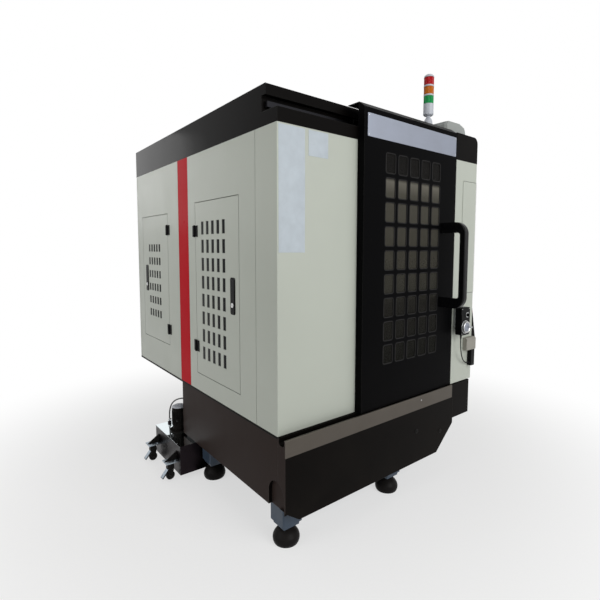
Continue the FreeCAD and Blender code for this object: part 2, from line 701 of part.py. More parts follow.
def make_front_skirt():
    """Black front box with cut-off lower corners and the round-bottomed door groove along its top."""
    strip_bottom = BASE_HEIGHT - SILL_HEIGHT
    right = SKIRT_RIGHT
    wall = SKIRT_SHEET
    front = -SILL_FRONT
    bottom = FRONT_SKIRT_BOTTOM
    outline = [(0, front, bottom + LEFT_CHAMFER_Z), (LEFT_CHAMFER_X, front, bottom),
               (right - SKIRT_CHAMFER_X, front, bottom), (right, front, bottom + SKIRT_CHAMFER_Z),
               (right, front, strip_bottom), (0, front, strip_bottom)]
    body = prism(outline, BACK * SILL_FRONT)
    body = body.fuse(box(0, SILL_SHEET - SILL_FRONT, strip_bottom, right, 0, BASE_HEIGHT - SHEET))
    groove = rounded_box(-wall, GROOVE_FRONT, BASE_HEIGHT - GROOVE_DEPTH, right + wall,
                         GROOVE_FRONT + GROOVE_WIDTH, BASE_HEIGHT + GROOVE_DEPTH, GROOVE_CORNER, RIGHT)
    left_run = corner_run(LEFT_CHAMFER_X, LEFT_CHAMFER_Z)
    right_run = corner_run(SKIRT_CHAMFER_X, SKIRT_CHAMFER_Z)
    hollow_top = BASE_HEIGHT - GROOVE_DEPTH - 2 * wall
    inner = front + 2 * wall
    inside = [(wall, inner, bottom + LEFT_CHAMFER_Z + left_run),
              (LEFT_CHAMFER_X + left_run, inner, bottom + wall),
              (right - SKIRT_CHAMFER_X - right_run, inner, bottom + wall),
              (right - wall, inner, bottom + SKIRT_CHAMFER_Z + right_run),
              (right - wall, inner, hollow_top), (wall, inner, hollow_top)]
    return body.cut([groove, prism(inside, BACK * SILL_FRONT), arch_cutter(-wall, 4 * wall)])


def make_side_skirts():
    """Black plates round the bed: left with an arch and the pocket behind it, right raised, and the back."""
    wall = SKIRT_SHEET
    left = box(0, 0, SIDE_SKIRT_BOTTOM, wall, SKIRT_DEPTH - wall, Z_TRAY)
    left = left.cut(arch_cutter(-wall, 4 * wall))
    pocket = arch_cutter(0, ARCH_DEPTH).cut(arch_cutter(-wall, ARCH_DEPTH, wall))
    pocket = pocket.cut(box(-wall, ARCH_CENTRE_Y - 2 * ARCH_RADIUS, FRONT_SKIRT_BOTTOM - 2 * wall,
                            2 * ARCH_DEPTH, ARCH_CENTRE_Y + 2 * ARCH_RADIUS, SIDE_SKIRT_BOTTOM))
    block_left = SKIRT_RIGHT + SEAM
    right = tray(block_left, -RIGHT_BLOCK_FRONT, RIGHT_SKIRT_BOTTOM, WIDTH, SKIRT_DEPTH - wall,
                 Z_TRAY, (-1, 0, 0), wall)
    back = box(0, SKIRT_DEPTH - wall, RIGHT_SKIRT_BOTTOM, WIDTH, SKIRT_DEPTH, Z_TRAY)
    return [left, pocket, right, back]


def make_door_sill():
    """Brushed steel strip folded over the front edge of the door groove."""
    bottom = BASE_HEIGHT - SILL_HEIGHT
    t = SILL_SHEET
    lip = SILL_LIP - SILL_FRONT
    section = [(0, -SILL_FRONT, BASE_HEIGHT), (0, -SILL_FRONT, bottom), (0, t - SILL_FRONT, bottom),
               (0, t - SILL_FRONT, BASE_HEIGHT - SHEET), (0, lip, BASE_HEIGHT - SHEET), (0, lip, BASE_HEIGHT)]
    return folded(section, RIGHT * (DOOR_RIGHT + SEAM), SHEET)


# --- enclosure -----------------------------------------------------------------------------------------

def make_left_corner_panel():
    """One folded sheet: left front panel, bend and the front strip of the left side."""
    s, f = SHEET, FLANGE
    w, d = LEFT_PANEL_WIDTH, CORNER_DEPTH
    z = BASE_HEIGHT
    section = [(0, 0, z), (w, 0, z), (w, f, z), (w - s, f, z), (w - s, s, z), (s, s, z),
               (s, d - s, z), (f, d - s, z), (f, d, z), (0, d, z)]
    return folded(section, UP * PANEL_HEIGHT, BEND_RADIUS)


def make_right_front_panel():
    """One folded sheet ahead of the left panel, wrapped round the right corner, with a raised cover plate."""
    s, f = SHEET, FLANGE
    left = WIDTH - RIGHT_PANEL_WIDTH
    front = -FRONT_STEP
    z = BASE_HEIGHT
    d = CORNER_DEPTH
    section = [(WIDTH, front, z), (WIDTH, d, z), (WIDTH - f, d, z), (WIDTH - f, d - s, z),
               (WIDTH - s, d - s, z),
               (WIDTH - s, front + s, z), (left + s, front + s, z), (left + s, 0, z), (left, 0, z),
               (left, front, z)]
    body = folded(section, UP * PANEL_HEIGHT, BEND_RADIUS)
    cover_right = WIDTH - 2 * BEND_RADIUS
    cover = rounded_box(cover_right - COVER_WIDTH, front - COVER_THICKNESS, COVER_BOTTOM,
                        cover_right, front, COVER_BOTTOM + COVER_HEIGHT, COVER_CORNER, BACK)
    return body.fuse(cover)


def make_left_side_panels():
    """Folded side pans, each with the opening of its vent door."""
    front = tray(0, CORNER_DEPTH + SEAM, BASE_HEIGHT, FLANGE, STRIPE_FRONT - SEAM, Z_BAND, RIGHT, SHEET)
    back = tray(0, STRIPE_BACK + SEAM, BASE_HEIGHT, FLANGE, DEPTH - FLANGE - SEAM, Z_BAND, RIGHT, SHEET)
    panels = []
    for panel, vent in ((front, FRONT_VENT), (back, REAR_VENT)):
        panels.append(panel.cut(box(-SHEET, vent["y"], vent["z"], 2 * SHEET, vent["y"] + vent["width"],
                                    vent["z"] + vent["height"])))
    return panels


def make_right_side_panels():
    """Plain folded pans on the right side."""
    front = tray(WIDTH - FLANGE, CORNER_DEPTH + SEAM, BASE_HEIGHT, WIDTH, STRIPE_FRONT - SEAM, Z_BAND, LEFT,
                 SHEET)
    back = tray(WIDTH - FLANGE, STRIPE_BACK + SEAM, BASE_HEIGHT, WIDTH, DEPTH - FLANGE - SEAM, Z_BAND, LEFT,
                SHEET)
    return [front, back]


def make_side_stripes():
    """The coloured strips between the side panels."""
    left = tray(0, STRIPE_FRONT, BASE_HEIGHT, FLANGE, STRIPE_BACK, Z_BAND, RIGHT, SHEET)
    right = tray(WIDTH - FLANGE, STRIPE_FRONT, BASE_HEIGHT, WIDTH, STRIPE_BACK, Z_BAND, LEFT, SHEET)
    return [left, right]


def make_top_rim():
    """Black band round the sides and back; its front end steps round the door track."""
    cheek = [(0, 0, Z_BAND), (0, DEPTH - SHEET, Z_BAND), (0, DEPTH - SHEET, Z_TOP),
             (0, CAP_SET_BACK, Z_TOP), (0, CAP_SET_BACK, Z_TOP - CAP_HEIGHT),
             (0, TRACK_DEPTH, Z_TOP - CAP_HEIGHT),
             (0, TRACK_DEPTH, Z_LEDGE), (0, 0, Z_LEDGE)]
    left = prism(cheek, RIGHT * SHEET)
    right = left.copy()
    right.translate(V(WIDTH - SHEET, 0, 0))
    back = box(0, DEPTH - SHEET, Z_BAND, WIDTH, DEPTH, Z_TOP)
    return [left, right, back]


def make_front_cap():
    """One long fold across the front: ledge, back of the door track, and the cap, cut out round the tower."""
    s = SHEET
    cap_bottom = Z_TOP - CAP_HEIGHT
    x = SHEET
    section = [(x, 0, Z_BAND), (x, 0, Z_LEDGE), (x, TRACK_DEPTH, Z_LEDGE), (x, TRACK_DEPTH, cap_bottom),
               (x, CAP_SET_BACK, cap_bottom), (x, CAP_SET_BACK, Z_TOP), (x, TRACK_DEPTH + FLANGE, Z_TOP),
               (x, TRACK_DEPTH + FLANGE, Z_TOP - s), (x, CAP_SET_BACK + s, Z_TOP - s),
               (x, CAP_SET_BACK + s, cap_bottom + s),
               (x, TRACK_DEPTH + s, cap_bottom + s), (x, TRACK_DEPTH + s, Z_LEDGE - s), (x, s, Z_LEDGE - s),
               (x, s, Z_BAND)]
    tower_hole = rod((TOWER_X, TOWER_Y, Z_TOP - 2 * s), UP, TOWER_FOOT_RADIUS + SEAM, 4 * s)
    return prism(section, RIGHT * (WIDTH - 2 * SHEET)).cut(tower_hole)


def make_roof_panel():
    """Roof sheet with a stiffening fold, dropped below the rim."""
    front = TRACK_DEPTH + FLANGE
    sheet = box(SHEET, CAP_SET_BACK + 2 * SHEET, Z_ROOF - SHEET, WIDTH - SHEET, DEPTH - SHEET, Z_ROOF)
    rib = box(SHEET, front, Z_ROOF - FLANGE, WIDTH - SHEET, front + SHEET, Z_ROOF)
    rear_rib = box(SHEET, DEPTH - 2 * SHEET, Z_ROOF - FLANGE, WIDTH - SHEET, DEPTH - SHEET, Z_ROOF)
    return sheet.fuse([rib, rear_rib])


def make_door_rail():
    rail = box(RAIL_INSET, TRACK_DEPTH - RAIL_DEPTH, RAIL_BOTTOM,
               WIDTH - RAIL_INSET, TRACK_DEPTH, RAIL_BOTTOM + RAIL_WIDTH)
    return rail.makeChamfer(RAIL_CHAMFER, edges_along(rail, RIGHT))


def upper_right_edge(body, right, top):
    """The edge that runs back along the upper right corner of a box."""
    return [e for e in edges_along(body, BACK)
            if e.CenterOfMass.distanceToPoint(V(right, e.CenterOfMass.y, top)) < 1]


def make_right_header():
    """Black pan above the right panel, with a rounded upper outer corner."""
    s = SHEET
    left = WIDTH - RIGHT_PANEL_WIDTH
    bottom = Z_BAND + SEAM / 2
    top = Z_BAND + HEADER_HEIGHT
    front = -FRONT_STEP
    body = box(left, front, bottom, WIDTH, 0, top)
    body = body.makeFillet(HEADER_CORNER, upper_right_edge(body, WIDTH, top))
    inner = box(left + s, front + s, bottom + s, WIDTH - s, 2 * s, top - s)
    return body.cut(inner.makeFillet(HEADER_CORNER - s, upper_right_edge(inner, WIDTH - s, top - s)))


def make_rear_wall():
    """Folded back wall with the opening of the cabinet door."""
    wall = tray(0, DEPTH - FLANGE, BASE_HEIGHT, WIDTH, DEPTH, Z_BAND, FORWARD, SHEET)
    door = CABINET_DOOR
    return wall.cut(box(door["x"], DEPTH - 2 * SHEET, door["z"], door["x"] + door["width"], DEPTH + SHEET,
                        door["z"] + door["height"]))


def make_chamber_liner():
    """Light sheet walls of the work chamber and the partition behind the column."""
    gap = LINER_SIDE_GAP
    left = box(gap, CORNER_DEPTH, BASE_HEIGHT, gap + SHEET, PARTITION_Y, Z_LEDGE)
    right = box(WIDTH - gap - SHEET, CORNER_DEPTH, BASE_HEIGHT, WIDTH - gap, PARTITION_Y, Z_LEDGE)
    partition = box(FLANGE + SEAM, PARTITION_Y, BASE_HEIGHT,
                    WIDTH - FLANGE - SEAM, PARTITION_Y + SHEET, Z_ROOF - SHEET)
    return [left, right, partition]


def make_electrical_panel():
    """Mounting plate on two posts, with a row of drive modules and a contactor strip."""
    back = MOUNTING_PLATE_Y + MOUNTING_PLATE_THICKNESS
    left = CABINET_DOOR["x"] + FLANGE
    right = left + CABINET_DOOR["width"] - 2 * FLANGE
    bottom = CABINET_DOOR["z"] + FLANGE
    plate = box(left, MOUNTING_PLATE_Y, BASE_HEIGHT, right, back,
                bottom + CABINET_DOOR["height"] - 2 * FLANGE)
    solids = [plate]
    for index in range(DRIVE_COUNT):
        x = left + FLANGE + index * DRIVE_PITCH
        solids.append(tray(x, back, bottom + DRIVE_HEIGHT, x + DRIVE_WIDTH, back + DRIVE_DEPTH,
                           bottom + 2 * DRIVE_HEIGHT, FORWARD, SHEET))
    strip_top = bottom + 3 * DRIVE_HEIGHT
    solids.append(box(left + FLANGE, back, strip_top, right - FLANGE, back + DRIVE_WIDTH,
                      strip_top + DRIVE_WIDTH))
    return solids


# --- hinged doors and their hardware -------------------------------------------------------------------

def make_vent_door(vent, hinge_at_back):
    """Slotted pan flush with the side, with the hinge leaves that swing with it and the latch cut-out."""
    y0 = vent["y"] + DOOR_SEAM
    y1 = vent["y"] + vent["width"] - DOOR_SEAM
    z0 = vent["z"] + DOOR_SEAM
    z1 = vent["z"] + vent["height"] - DOOR_SEAM
    body = tray(0, y0, z0, FLANGE - 4 * SHEET, y1, z1, RIGHT, SHEET)
    slots = []
    for column in range(vent["columns"]):
        for row in range(vent["rows"]):
            y = vent["y"] + vent["slot_y"] + column * vent["pitch_y"]
            z = vent["z"] + vent["slot_z"] + row * vent["pitch_z"]
            slots.append(box(-SHEET, y, z, 2 * SHEET, y + vent["slot_width"], z + vent["slot_height"]))
    latch_y, latch_z = latch_place(vent, hinge_at_back)
    gap = 2 * RUN_GAP
    slots.append(box(-SHEET, latch_y - gap, latch_z - gap, 2 * SHEET, latch_y + LATCH_WIDTH + gap,
                     latch_z + LATCH_LENGTH + gap))
    body = body.cut(slots)
    for z in hinge_heights(vent):
        body = body.fuse(hinge_leaf(vent, hinge_at_back, z, True))
    return body


def latch_place(vent, hinge_at_back):
    """Lower front corner of the latch lever's cut-out, near the door's free edge."""
    if hinge_at_back:
        y = vent["y"] + vent["latch_inset"]
    else:
        y = vent["y"] + vent["width"] - vent["latch_inset"] - LATCH_WIDTH
    return y, latch_middle(vent) - LATCH_LENGTH / 2


def latch_middle(vent):
    return vent["z"] + vent["height"] / 2 - LATCH_DROP


def hinge_heights(vent):
    return (vent["z"] + vent["hinge_inset"], vent["z"] + vent["height"] - vent["hinge_inset"])


def hinge_line(vent, hinge_at_back):
    """Y of a vent door's hinge pin."""
    if hinge_at_back:
        return vent["y"] + vent["width"]
    return vent["y"]


def hinge_leaf(vent, hinge_at_back, z, on_door):
    """The flat leaf of one hinge, on the door's side or on the panel's side of the pin."""
    line = hinge_line(vent, hinge_at_back)
    inward = -1 if hinge_at_back == on_door else 1
    near = line + inward * (HINGE_RADIUS + RUN_GAP)
    far = line + inward * (HINGE_RADIUS + HINGE_LEAF)
    if not on_door:
        near = line
    return box(-HINGE_SHEET, min(near, far), z - HINGE_HEIGHT / 2, 0, max(near, far), z + HINGE_HEIGHT / 2)


def make_hinges():
    """Fixed halves of the hinges: a leaf and a barrel each, on the side panels and on the back wall."""
    solids = []
    for vent, hinge_at_back in ((FRONT_VENT, True), (REAR_VENT, False)):
        line = hinge_line(vent, hinge_at_back)
        for z in hinge_heights(vent):
            barrel = rod((-HINGE_RADIUS, line, z - HINGE_HEIGHT / 2), UP, HINGE_RADIUS, HINGE_HEIGHT)
            leaf = hinge_leaf(vent, hinge_at_back, z, False)
            solids.append(barrel.fuse(leaf.cut(box(-HINGE_SHEET, line - HINGE_RADIUS, z - HINGE_HEIGHT, 0,
                                                   line + HINGE_RADIUS, z + HINGE_HEIGHT)).fuse(leaf)))
    door = CABINET_DOOR
    for z in hinge_heights(door):
        barrel = rod((door["x"], DEPTH + HINGE_RADIUS, z - HINGE_HEIGHT / 2), UP, HINGE_RADIUS, HINGE_HEIGHT)
        leaf = box(door["x"] - HINGE_RADIUS - HINGE_LEAF, DEPTH, z - HINGE_HEIGHT / 2, door["x"],
                   DEPTH + HINGE_SHEET, z + HINGE_HEIGHT / 2)
        solids.append(barrel.fuse(leaf))
    return solids


def make_latch(vent, hinge_at_back):
    """Lift lever of a door latch, rounded about its pivot at the top."""
    y, z = latch_place(vent, hinge_at_back)
    pivot = latch_pivot_z(vent)
    bar = box(-LATCH_RADIUS / 2, y, z, 3 * LATCH_RADIUS / 2, y + LATCH_WIDTH, pivot)
    knuckle = rod((LATCH_RADIUS / 2, y, pivot), BACK, LATCH_RADIUS, LATCH_WIDTH)
    return bar.fuse(knuckle)


def latch_pivot_z(vent):
    return latch_middle(vent) + LATCH_LENGTH / 2 - LATCH_RADIUS


def make_cabinet_door():
    """Plain pan that closes the electrical cabinet, with its hinge leaves and the switch's shaft hole."""
    door = CABINET_DOOR
    x0 = door["x"] + DOOR_SEAM
    x1 = door["x"] + door["width"] - DOOR_SEAM
    z0 = door["z"] + DOOR_SEAM
    z1 = door["z"] + door["height"] - DOOR_SEAM
    body = tray(x0, DEPTH - FLANGE + 4 * SHEET, z0, x1, DEPTH, z1, FORWARD, SHEET)
    for z in hinge_heights(door):
        body = body.fuse(box(door["x"] + HINGE_RADIUS + RUN_GAP, DEPTH, z - HINGE_HEIGHT / 2,
                             door["x"] + HINGE_RADIUS + HINGE_LEAF, DEPTH + HINGE_SHEET,
                             z + HINGE_HEIGHT / 2))
    return body.cut(rod((switch_x(), DEPTH - 4 * SHEET, SWITCH_Z), BACK, SWITCH_GRIP / 2 + BORE_GAP,
                        8 * SHEET))


def switch_x():
    return CABINET_DOOR["x"] + CABINET_DOOR["width"] - SWITCH_INSET


def make_main_switch():
    """Rotary isolator: shaft through the door, round base and grip bar."""
    x = switch_x()
    shaft = rod((x, DEPTH - 6 * SHEET, SWITCH_Z), BACK, SWITCH_GRIP / 2, 8 * SHEET)
    base = turned([(0, 0), (SWITCH_RADIUS, 0), (SWITCH_RADIUS, 6), (SWITCH_RADIUS - 4, 10), (0, 10)],
                  (x, DEPTH + RUN_GAP, SWITCH_Z), BACK)
    grip = rounded_box(x - SWITCH_GRIP / 2, DEPTH + 6, SWITCH_Z - SWITCH_RADIUS, x + SWITCH_GRIP / 2,
                       DEPTH + 28,
                       SWITCH_Z + SWITCH_RADIUS, 5, BACK)
    return shaft.fuse([base, grip])


# --- sliding door --------------------------------------------------------------------------------------

def make_door_frame():
    """Folded door skin with rows of rounded windows, a sloped top, a hook flange and two carriages."""
    front = -FRONT_STEP
    back = -DOOR_BACK_GAP
    t = DOOR_SKIN
    x0, x1 = DOOR_LEFT, DOOR_RIGHT
    shell = prism([(x0, front, DOOR_BOTTOM), (x0, front, DOOR_TOP - DOOR_TOP_SLOPE), (x0, back - t, DOOR_TOP),
                   (x0, back, DOOR_TOP), (x0, back, DOOR_BOTTOM)], RIGHT * (x1 - x0))
    hollow = prism([(x0 + t, front + t, DOOR_BOTTOM + t), (x0 + t, front + t, DOOR_TOP - DOOR_TOP_SLOPE - t),
                    (x0 + t, back - t, DOOR_TOP - 2 * t), (x0 + t, back + t, DOOR_TOP - 2 * t),
                    (x0 + t, back + t, DOOR_BOTTOM + t)], RIGHT * (x1 - x0 - 2 * t))
    shell = shell.cut(hollow)
    shell = shell.cut(window_cutters(front))
    hook = box(x0, back - t, DOOR_TOP - t, x1, DOOR_FLANGE_DEPTH, DOOR_TOP)
    fin_middle = -DOOR_BACK_GAP - DOOR_THICKNESS / 2
    fin = box(x0 + FLANGE, fin_middle - GUIDE_FIN / 2, DOOR_BOTTOM - DOOR_SEAM - GUIDE_FIN_DEPTH + RUN_GAP,
              x1 - FLANGE, fin_middle + GUIDE_FIN / 2, DOOR_BOTTOM + t)
    body = shell.fuse([hook, fin])
    for x in (x0 + CARRIAGE_INSET, x1 - CARRIAGE_INSET):
        body = body.fuse(make_carriage(x))
    return body


def window_cutters(front):
    cutters = []
    first = rounded_box(0, front - DOOR_SKIN, 0, WINDOW_WIDTH, front + 2 * DOOR_SKIN, WINDOW_HEIGHT,
                        WINDOW_CORNER, BACK)
    for column in range(WINDOW_COLUMNS):
        for row in range(WINDOW_ROWS):
            cutter = first.copy()
            cutter.translate(V(DOOR_LEFT + WINDOW_LEFT + column * WINDOW_PITCH_X, 0,
                               WINDOW_TOP - WINDOW_HEIGHT - row * WINDOW_PITCH_Z))
            cutters.append(cutter)
    return cutters


def make_carriage(x):
    """A C-shaped runner round the rail and the arm that carries the door's skin and hook."""
    w = CARRIAGE_WALL
    half = CARRIAGE_LENGTH / 2
    rail_front = TRACK_DEPTH - RAIL_DEPTH
    rail_top = RAIL_BOTTOM + RAIL_WIDTH
    block = box(x - half, rail_front - w - RUN_GAP, RAIL_BOTTOM - w, x + half, TRACK_DEPTH - CARRIAGE_LIP,
                rail_top + w)
    slot = box(x - half, rail_front - RUN_GAP, RAIL_BOTTOM - RUN_GAP, x + half, TRACK_DEPTH,
               rail_top + RUN_GAP)
    arm = box(x - half / 2, -FRONT_STEP + DOOR_SKIN, RAIL_BOTTOM,
              x + half / 2, rail_front - w, RAIL_BOTTOM + RAIL_WIDTH / 2)
    hanger = box(x - half / 2, DOOR_FLANGE_DEPTH - w, RAIL_BOTTOM,
                 x + half / 2, DOOR_FLANGE_DEPTH, DOOR_TOP - DOOR_SKIN)
    return block.cut(slot).fuse([arm, hanger])


def make_door_glazing():
    """One clear pane behind all the windows."""
    left = DOOR_LEFT + WINDOW_LEFT - GLAZING_MARGIN
    right = left + (WINDOW_COLUMNS - 1) * WINDOW_PITCH_X + WINDOW_WIDTH + 2 * GLAZING_MARGIN
    top = WINDOW_TOP + GLAZING_MARGIN
    bottom = WINDOW_TOP - (WINDOW_ROWS - 1) * WINDOW_PITCH_Z - WINDOW_HEIGHT - GLAZING_MARGIN
    y = -FRONT_STEP + DOOR_SKIN
    return box(left, y, bottom, right, y + GLAZING_THICKNESS, top)


def make_nameplate():
    left = DOOR_LEFT + NAMEPLATE_INSET
    front = -FRONT_STEP
    return rounded_box(left, front - NAMEPLATE_THICKNESS, NAMEPLATE_BOTTOM, left + NAMEPLATE_WIDTH, front,
                       NAMEPLATE_BOTTOM + NAMEPLATE_HEIGHT, NAMEPLATE_CORNER, BACK)


def make_door_handle():
    """A moulded D-shaped pull that stands edge-on to the door: large outer corners, a rounded finger slot."""
    right = DOOR_RIGHT - HANDLE_INSET
    left = right - HANDLE_WIDTH
    front = -FRONT_STEP
    out = front - HANDLE_REACH
    high = HANDLE_BOTTOM + HANDLE_SPAN
    body = box(left, out, HANDLE_BOTTOM, right, front, high)
    outer = [e for e in edges_along(body, RIGHT) if e.CenterOfMass.y < out + 1]
    body = body.makeFillet(HANDLE_CORNER, outer)
    slot = rounded_box(left, out + HANDLE_GRIP, HANDLE_BOTTOM + HANDLE_ARM, right, front + HANDLE_SLOT_CORNER,
                       high - HANDLE_ARM, HANDLE_SLOT_CORNER, RIGHT)
    body = body.cut(slot)
    sides = [e for e in body.Edges if e.BoundBox.YMax < front - 1 and e.BoundBox.XLength < 0.01]
    return body.makeFillet(HANDLE_ROUND, sides)


# --- column, axes and spindle --------------------------------------------------------------------------

def make_column():
    """Hollow cast column: tapered foot, upright box and machined guide pads on its front."""
    top = COLUMN_TOP
    foot = BASE_HEIGHT + SHEET
    half, foot_half = COLUMN_HALF_WIDTH, COLUMN_FOOT_HALF_WIDTH
    outline = [(-foot_half, foot), (foot_half, foot), (foot_half, foot + COLUMN_FOOT_EDGE),
               (half, foot + COLUMN_TAPER), (half, top), (-half, top),
               (-half, foot + COLUMN_TAPER), (-foot_half, foot + COLUMN_FOOT_EDGE)]
    front_view = [(AXIS_X + across, COLUMN_FRONT, z) for across, z in outline]
    body = prism(front_view, BACK * (COLUMN_BACK - COLUMN_FRONT))
    channel = box(AXIS_X - COLUMN_CHANNEL_HALF, COLUMN_FRONT, Z_GUIDE_BOTTOM - CHANNEL_START,
                  AXIS_X + COLUMN_CHANNEL_HALF, COLUMN_FRONT + COLUMN_CHANNEL_DEPTH, top)
    core = box(AXIS_X - half + COLUMN_WALL, COLUMN_FRONT + COLUMN_FRONT_WALL, foot + COLUMN_FRONT_WALL,
               AXIS_X + half - COLUMN_WALL, COLUMN_BACK - COLUMN_WALL, top - COLUMN_WALL)
    return body.cut([channel, core])


def guide(x0, y0, z0, x1, y1, z1, axis):
    bar = box(x0, y0, z0, x1, y1, z1)
    return bar.makeChamfer(GUIDE_CHAMFER, edges_along(bar, axis))


def make_fixed_guides():
    """Linear guides of the Y axis on the bed and of the Z axis on the column."""
    half = GUIDE_WIDTH / 2
    bars = []
    for side in (-1, 1):
        x = AXIS_X + side * Y_GUIDE_SPREAD
        bars.append(guide(x - half, Y_GUIDE_FRONT, WAY_HEIGHT, x + half, Y_GUIDE_BACK, Y_GUIDE_TOP, BACK))
        x = AXIS_X + side * Z_GUIDE_SPREAD
        bars.append(guide(x - half, COLUMN_FRONT - GUIDE_HEIGHT, Z_GUIDE_BOTTOM,
                          x + half, COLUMN_FRONT, Z_GUIDE_TOP, UP))
    return bars


def carriage_blocks(centres, along, up, base):
    """Carriage blocks astride guides: centres are (across, along) pairs, base is the guide's foot height."""
    blocks = []
    half_w = BLOCK_WIDTH / 2
    rise = GUIDE_HEIGHT + BLOCK_HEIGHT
    slot_half = GUIDE_WIDTH / 2 + RUN_GAP
    slot_top = GUIDE_HEIGHT + RUN_GAP
    profile = [(-half_w, BLOCK_FOOT), (-slot_half, BLOCK_FOOT), (-slot_half, slot_top), (slot_half, slot_top),
               (slot_half, BLOCK_FOOT), (half_w, BLOCK_FOOT), (half_w, rise), (-half_w, rise)]
    across = along.cross(up)
    for a, l in centres:
        start = across * a + along * (l - BLOCK_LENGTH / 2) + up * base
        points = [start + across * u + up * h for u, h in profile]
        blocks.append(prism([(p.x, p.y, p.z) for p in points], along * BLOCK_LENGTH))
    return blocks


def make_saddle():
    """Cross slide: four carriages below, a trough and two guides above, and the Y screw's nut bracket."""
    y0 = SPINDLE_Y - SADDLE_HALF_WIDTH
    y1 = SPINDLE_Y + SADDLE_HALF_WIDTH
    x0 = AXIS_X - SADDLE_HALF_LENGTH
    x1 = AXIS_X + SADDLE_HALF_LENGTH
    trough_half = BEARING_HALF + SADDLE_TROUGH_GAP
    body = box(x0, y0, SADDLE_BOTTOM, x1, y1, SADDLE_TOP)
    body = body.cut(box(x0 + FLANGE, SPINDLE_Y - trough_half, SADDLE_BOTTOM + SADDLE_FLOOR,
                        x1 - FLANGE, SPINDLE_Y + trough_half, SADDLE_TOP))
    reach = SADDLE_HALF_WIDTH - BLOCK_LENGTH / 2 - END_MARGIN
    centres = [(across, along) for across in (AXIS_X - Y_GUIDE_SPREAD, AXIS_X + Y_GUIDE_SPREAD)
               for along in (SPINDLE_Y - reach, SPINDLE_Y + reach)]
    blocks = carriage_blocks(centres, BACK, UP, WAY_HEIGHT)
    nut_half = NUT_RADIUS + NUT_WALL
    nut = box(AXIS_X - nut_half, SPINDLE_Y - NUT_HALF_LENGTH, Y_SCREW_Z - nut_half,
              AXIS_X + nut_half, SPINDLE_Y + NUT_HALF_LENGTH, SADDLE_BOTTOM)
    nut = nut.cut(rod((AXIS_X, SPINDLE_Y - NUT_HALF_LENGTH, Y_SCREW_Z), BACK, SCREW_RADIUS + RUN_GAP,
                      2 * NUT_HALF_LENGTH))
    ends = []
    for x in (x0, x1 - FLANGE):
        ends.append(box(x, SPINDLE_Y - BEARING_HALF, SADDLE_TOP, x + FLANGE, SPINDLE_Y + BEARING_HALF,
                        X_SCREW_Z + BEARING_HALF - BEARING_TRIM))
    body = body.fuse(blocks + [nut] + ends)
    return body.cut(rod((x0, SPINDLE_Y, X_SCREW_Z), RIGHT, SCREW_JOURNAL + BORE_GAP, x1 - x0))


def make_x_guides():
    half = GUIDE_WIDTH / 2
    bars = []
    for side in (-1, 1):
        y = SPINDLE_Y + side * X_GUIDE_SPREAD
        bars.append(guide(AXIS_X - SADDLE_HALF_LENGTH, y - half, SADDLE_TOP, AXIS_X + SADDLE_HALF_LENGTH,
                          y + half,
                          SADDLE_TOP + GUIDE_HEIGHT, RIGHT))
    return bars


def make_table():
    """Work table with T-slots, its four carriages and the nut bracket of the X screw."""
    x0 = AXIS_X - TABLE_LENGTH / 2
    y0 = SPINDLE_Y - TABLE_WIDTH / 2
    outline = [(y0, TABLE_BOTTOM), (y0, TABLE_TOP)]
    for index in range(SLOT_COUNT):
        y = SPINDLE_Y + (index - (SLOT_COUNT - 1) / 2) * SLOT_PITCH
        neck, head = SLOT_NECK / 2, SLOT_HEAD / 2
        shoulder = TABLE_TOP - SLOT_NECK_DEPTH
        floor = shoulder - SLOT_HEAD_DEPTH
        outline += [(y - neck, TABLE_TOP), (y - neck, shoulder), (y - head, shoulder), (y - head, floor),
                    (y + head, floor), (y + head, shoulder), (y + neck, shoulder), (y + neck, TABLE_TOP)]
    outline += [(y0 + TABLE_WIDTH, TABLE_TOP), (y0 + TABLE_WIDTH, TABLE_BOTTOM)]
    body = prism([(x0, y, z) for y, z in outline], RIGHT * TABLE_LENGTH)
    spread = SADDLE_HALF_LENGTH - X_TRAVEL - BLOCK_LENGTH / 2 - END_MARGIN
    centres = [(-(SPINDLE_Y + side * X_GUIDE_SPREAD), AXIS_X + end * spread) for side in (-1, 1)
               for end in (-1, 1)]
    blocks = carriage_blocks(centres, RIGHT, UP, SADDLE_TOP)
    nut = box(AXIS_X - NUT_HALF_LENGTH, SPINDLE_Y - NUT_RADIUS, X_SCREW_Z - NUT_RADIUS + BEARING_TRIM,
              AXIS_X + NUT_HALF_LENGTH, SPINDLE_Y + NUT_RADIUS, TABLE_BOTTOM)
    nut = nut.cut(rod((AXIS_X - NUT_HALF_LENGTH, SPINDLE_Y, X_SCREW_Z), RIGHT, SCREW_RADIUS + RUN_GAP,
                      2 * NUT_HALF_LENGTH))
    return body.fuse(blocks + [nut])


def ball_screw(start, axis, length):
    """A screw's core with a journal at each end; the thread is too fine to shape."""
    j, r, n = SCREW_JOURNAL, SCREW_RADIUS, JOURNAL_LENGTH
    profile = [(0, 0), (j, 0), (j, n), (r, n), (r, length - n), (j, length - n), (j, length), (0, length)]
    return turned(profile, start, axis)


def make_x_screw():
    inner = FLANGE - JOURNAL_LENGTH + COUPLING_GAP
    start = AXIS_X - SADDLE_HALF_LENGTH + inner
    return ball_screw((start, SPINDLE_Y, X_SCREW_Z), RIGHT, 2 * (SADDLE_HALF_LENGTH - inner))


def make_x_motor():
    """Servo motor of the X axis on the saddle's right end."""
    return servo_motor((AXIS_X + SADDLE_HALF_LENGTH, SPINDLE_Y, X_SCREW_Z), RIGHT)


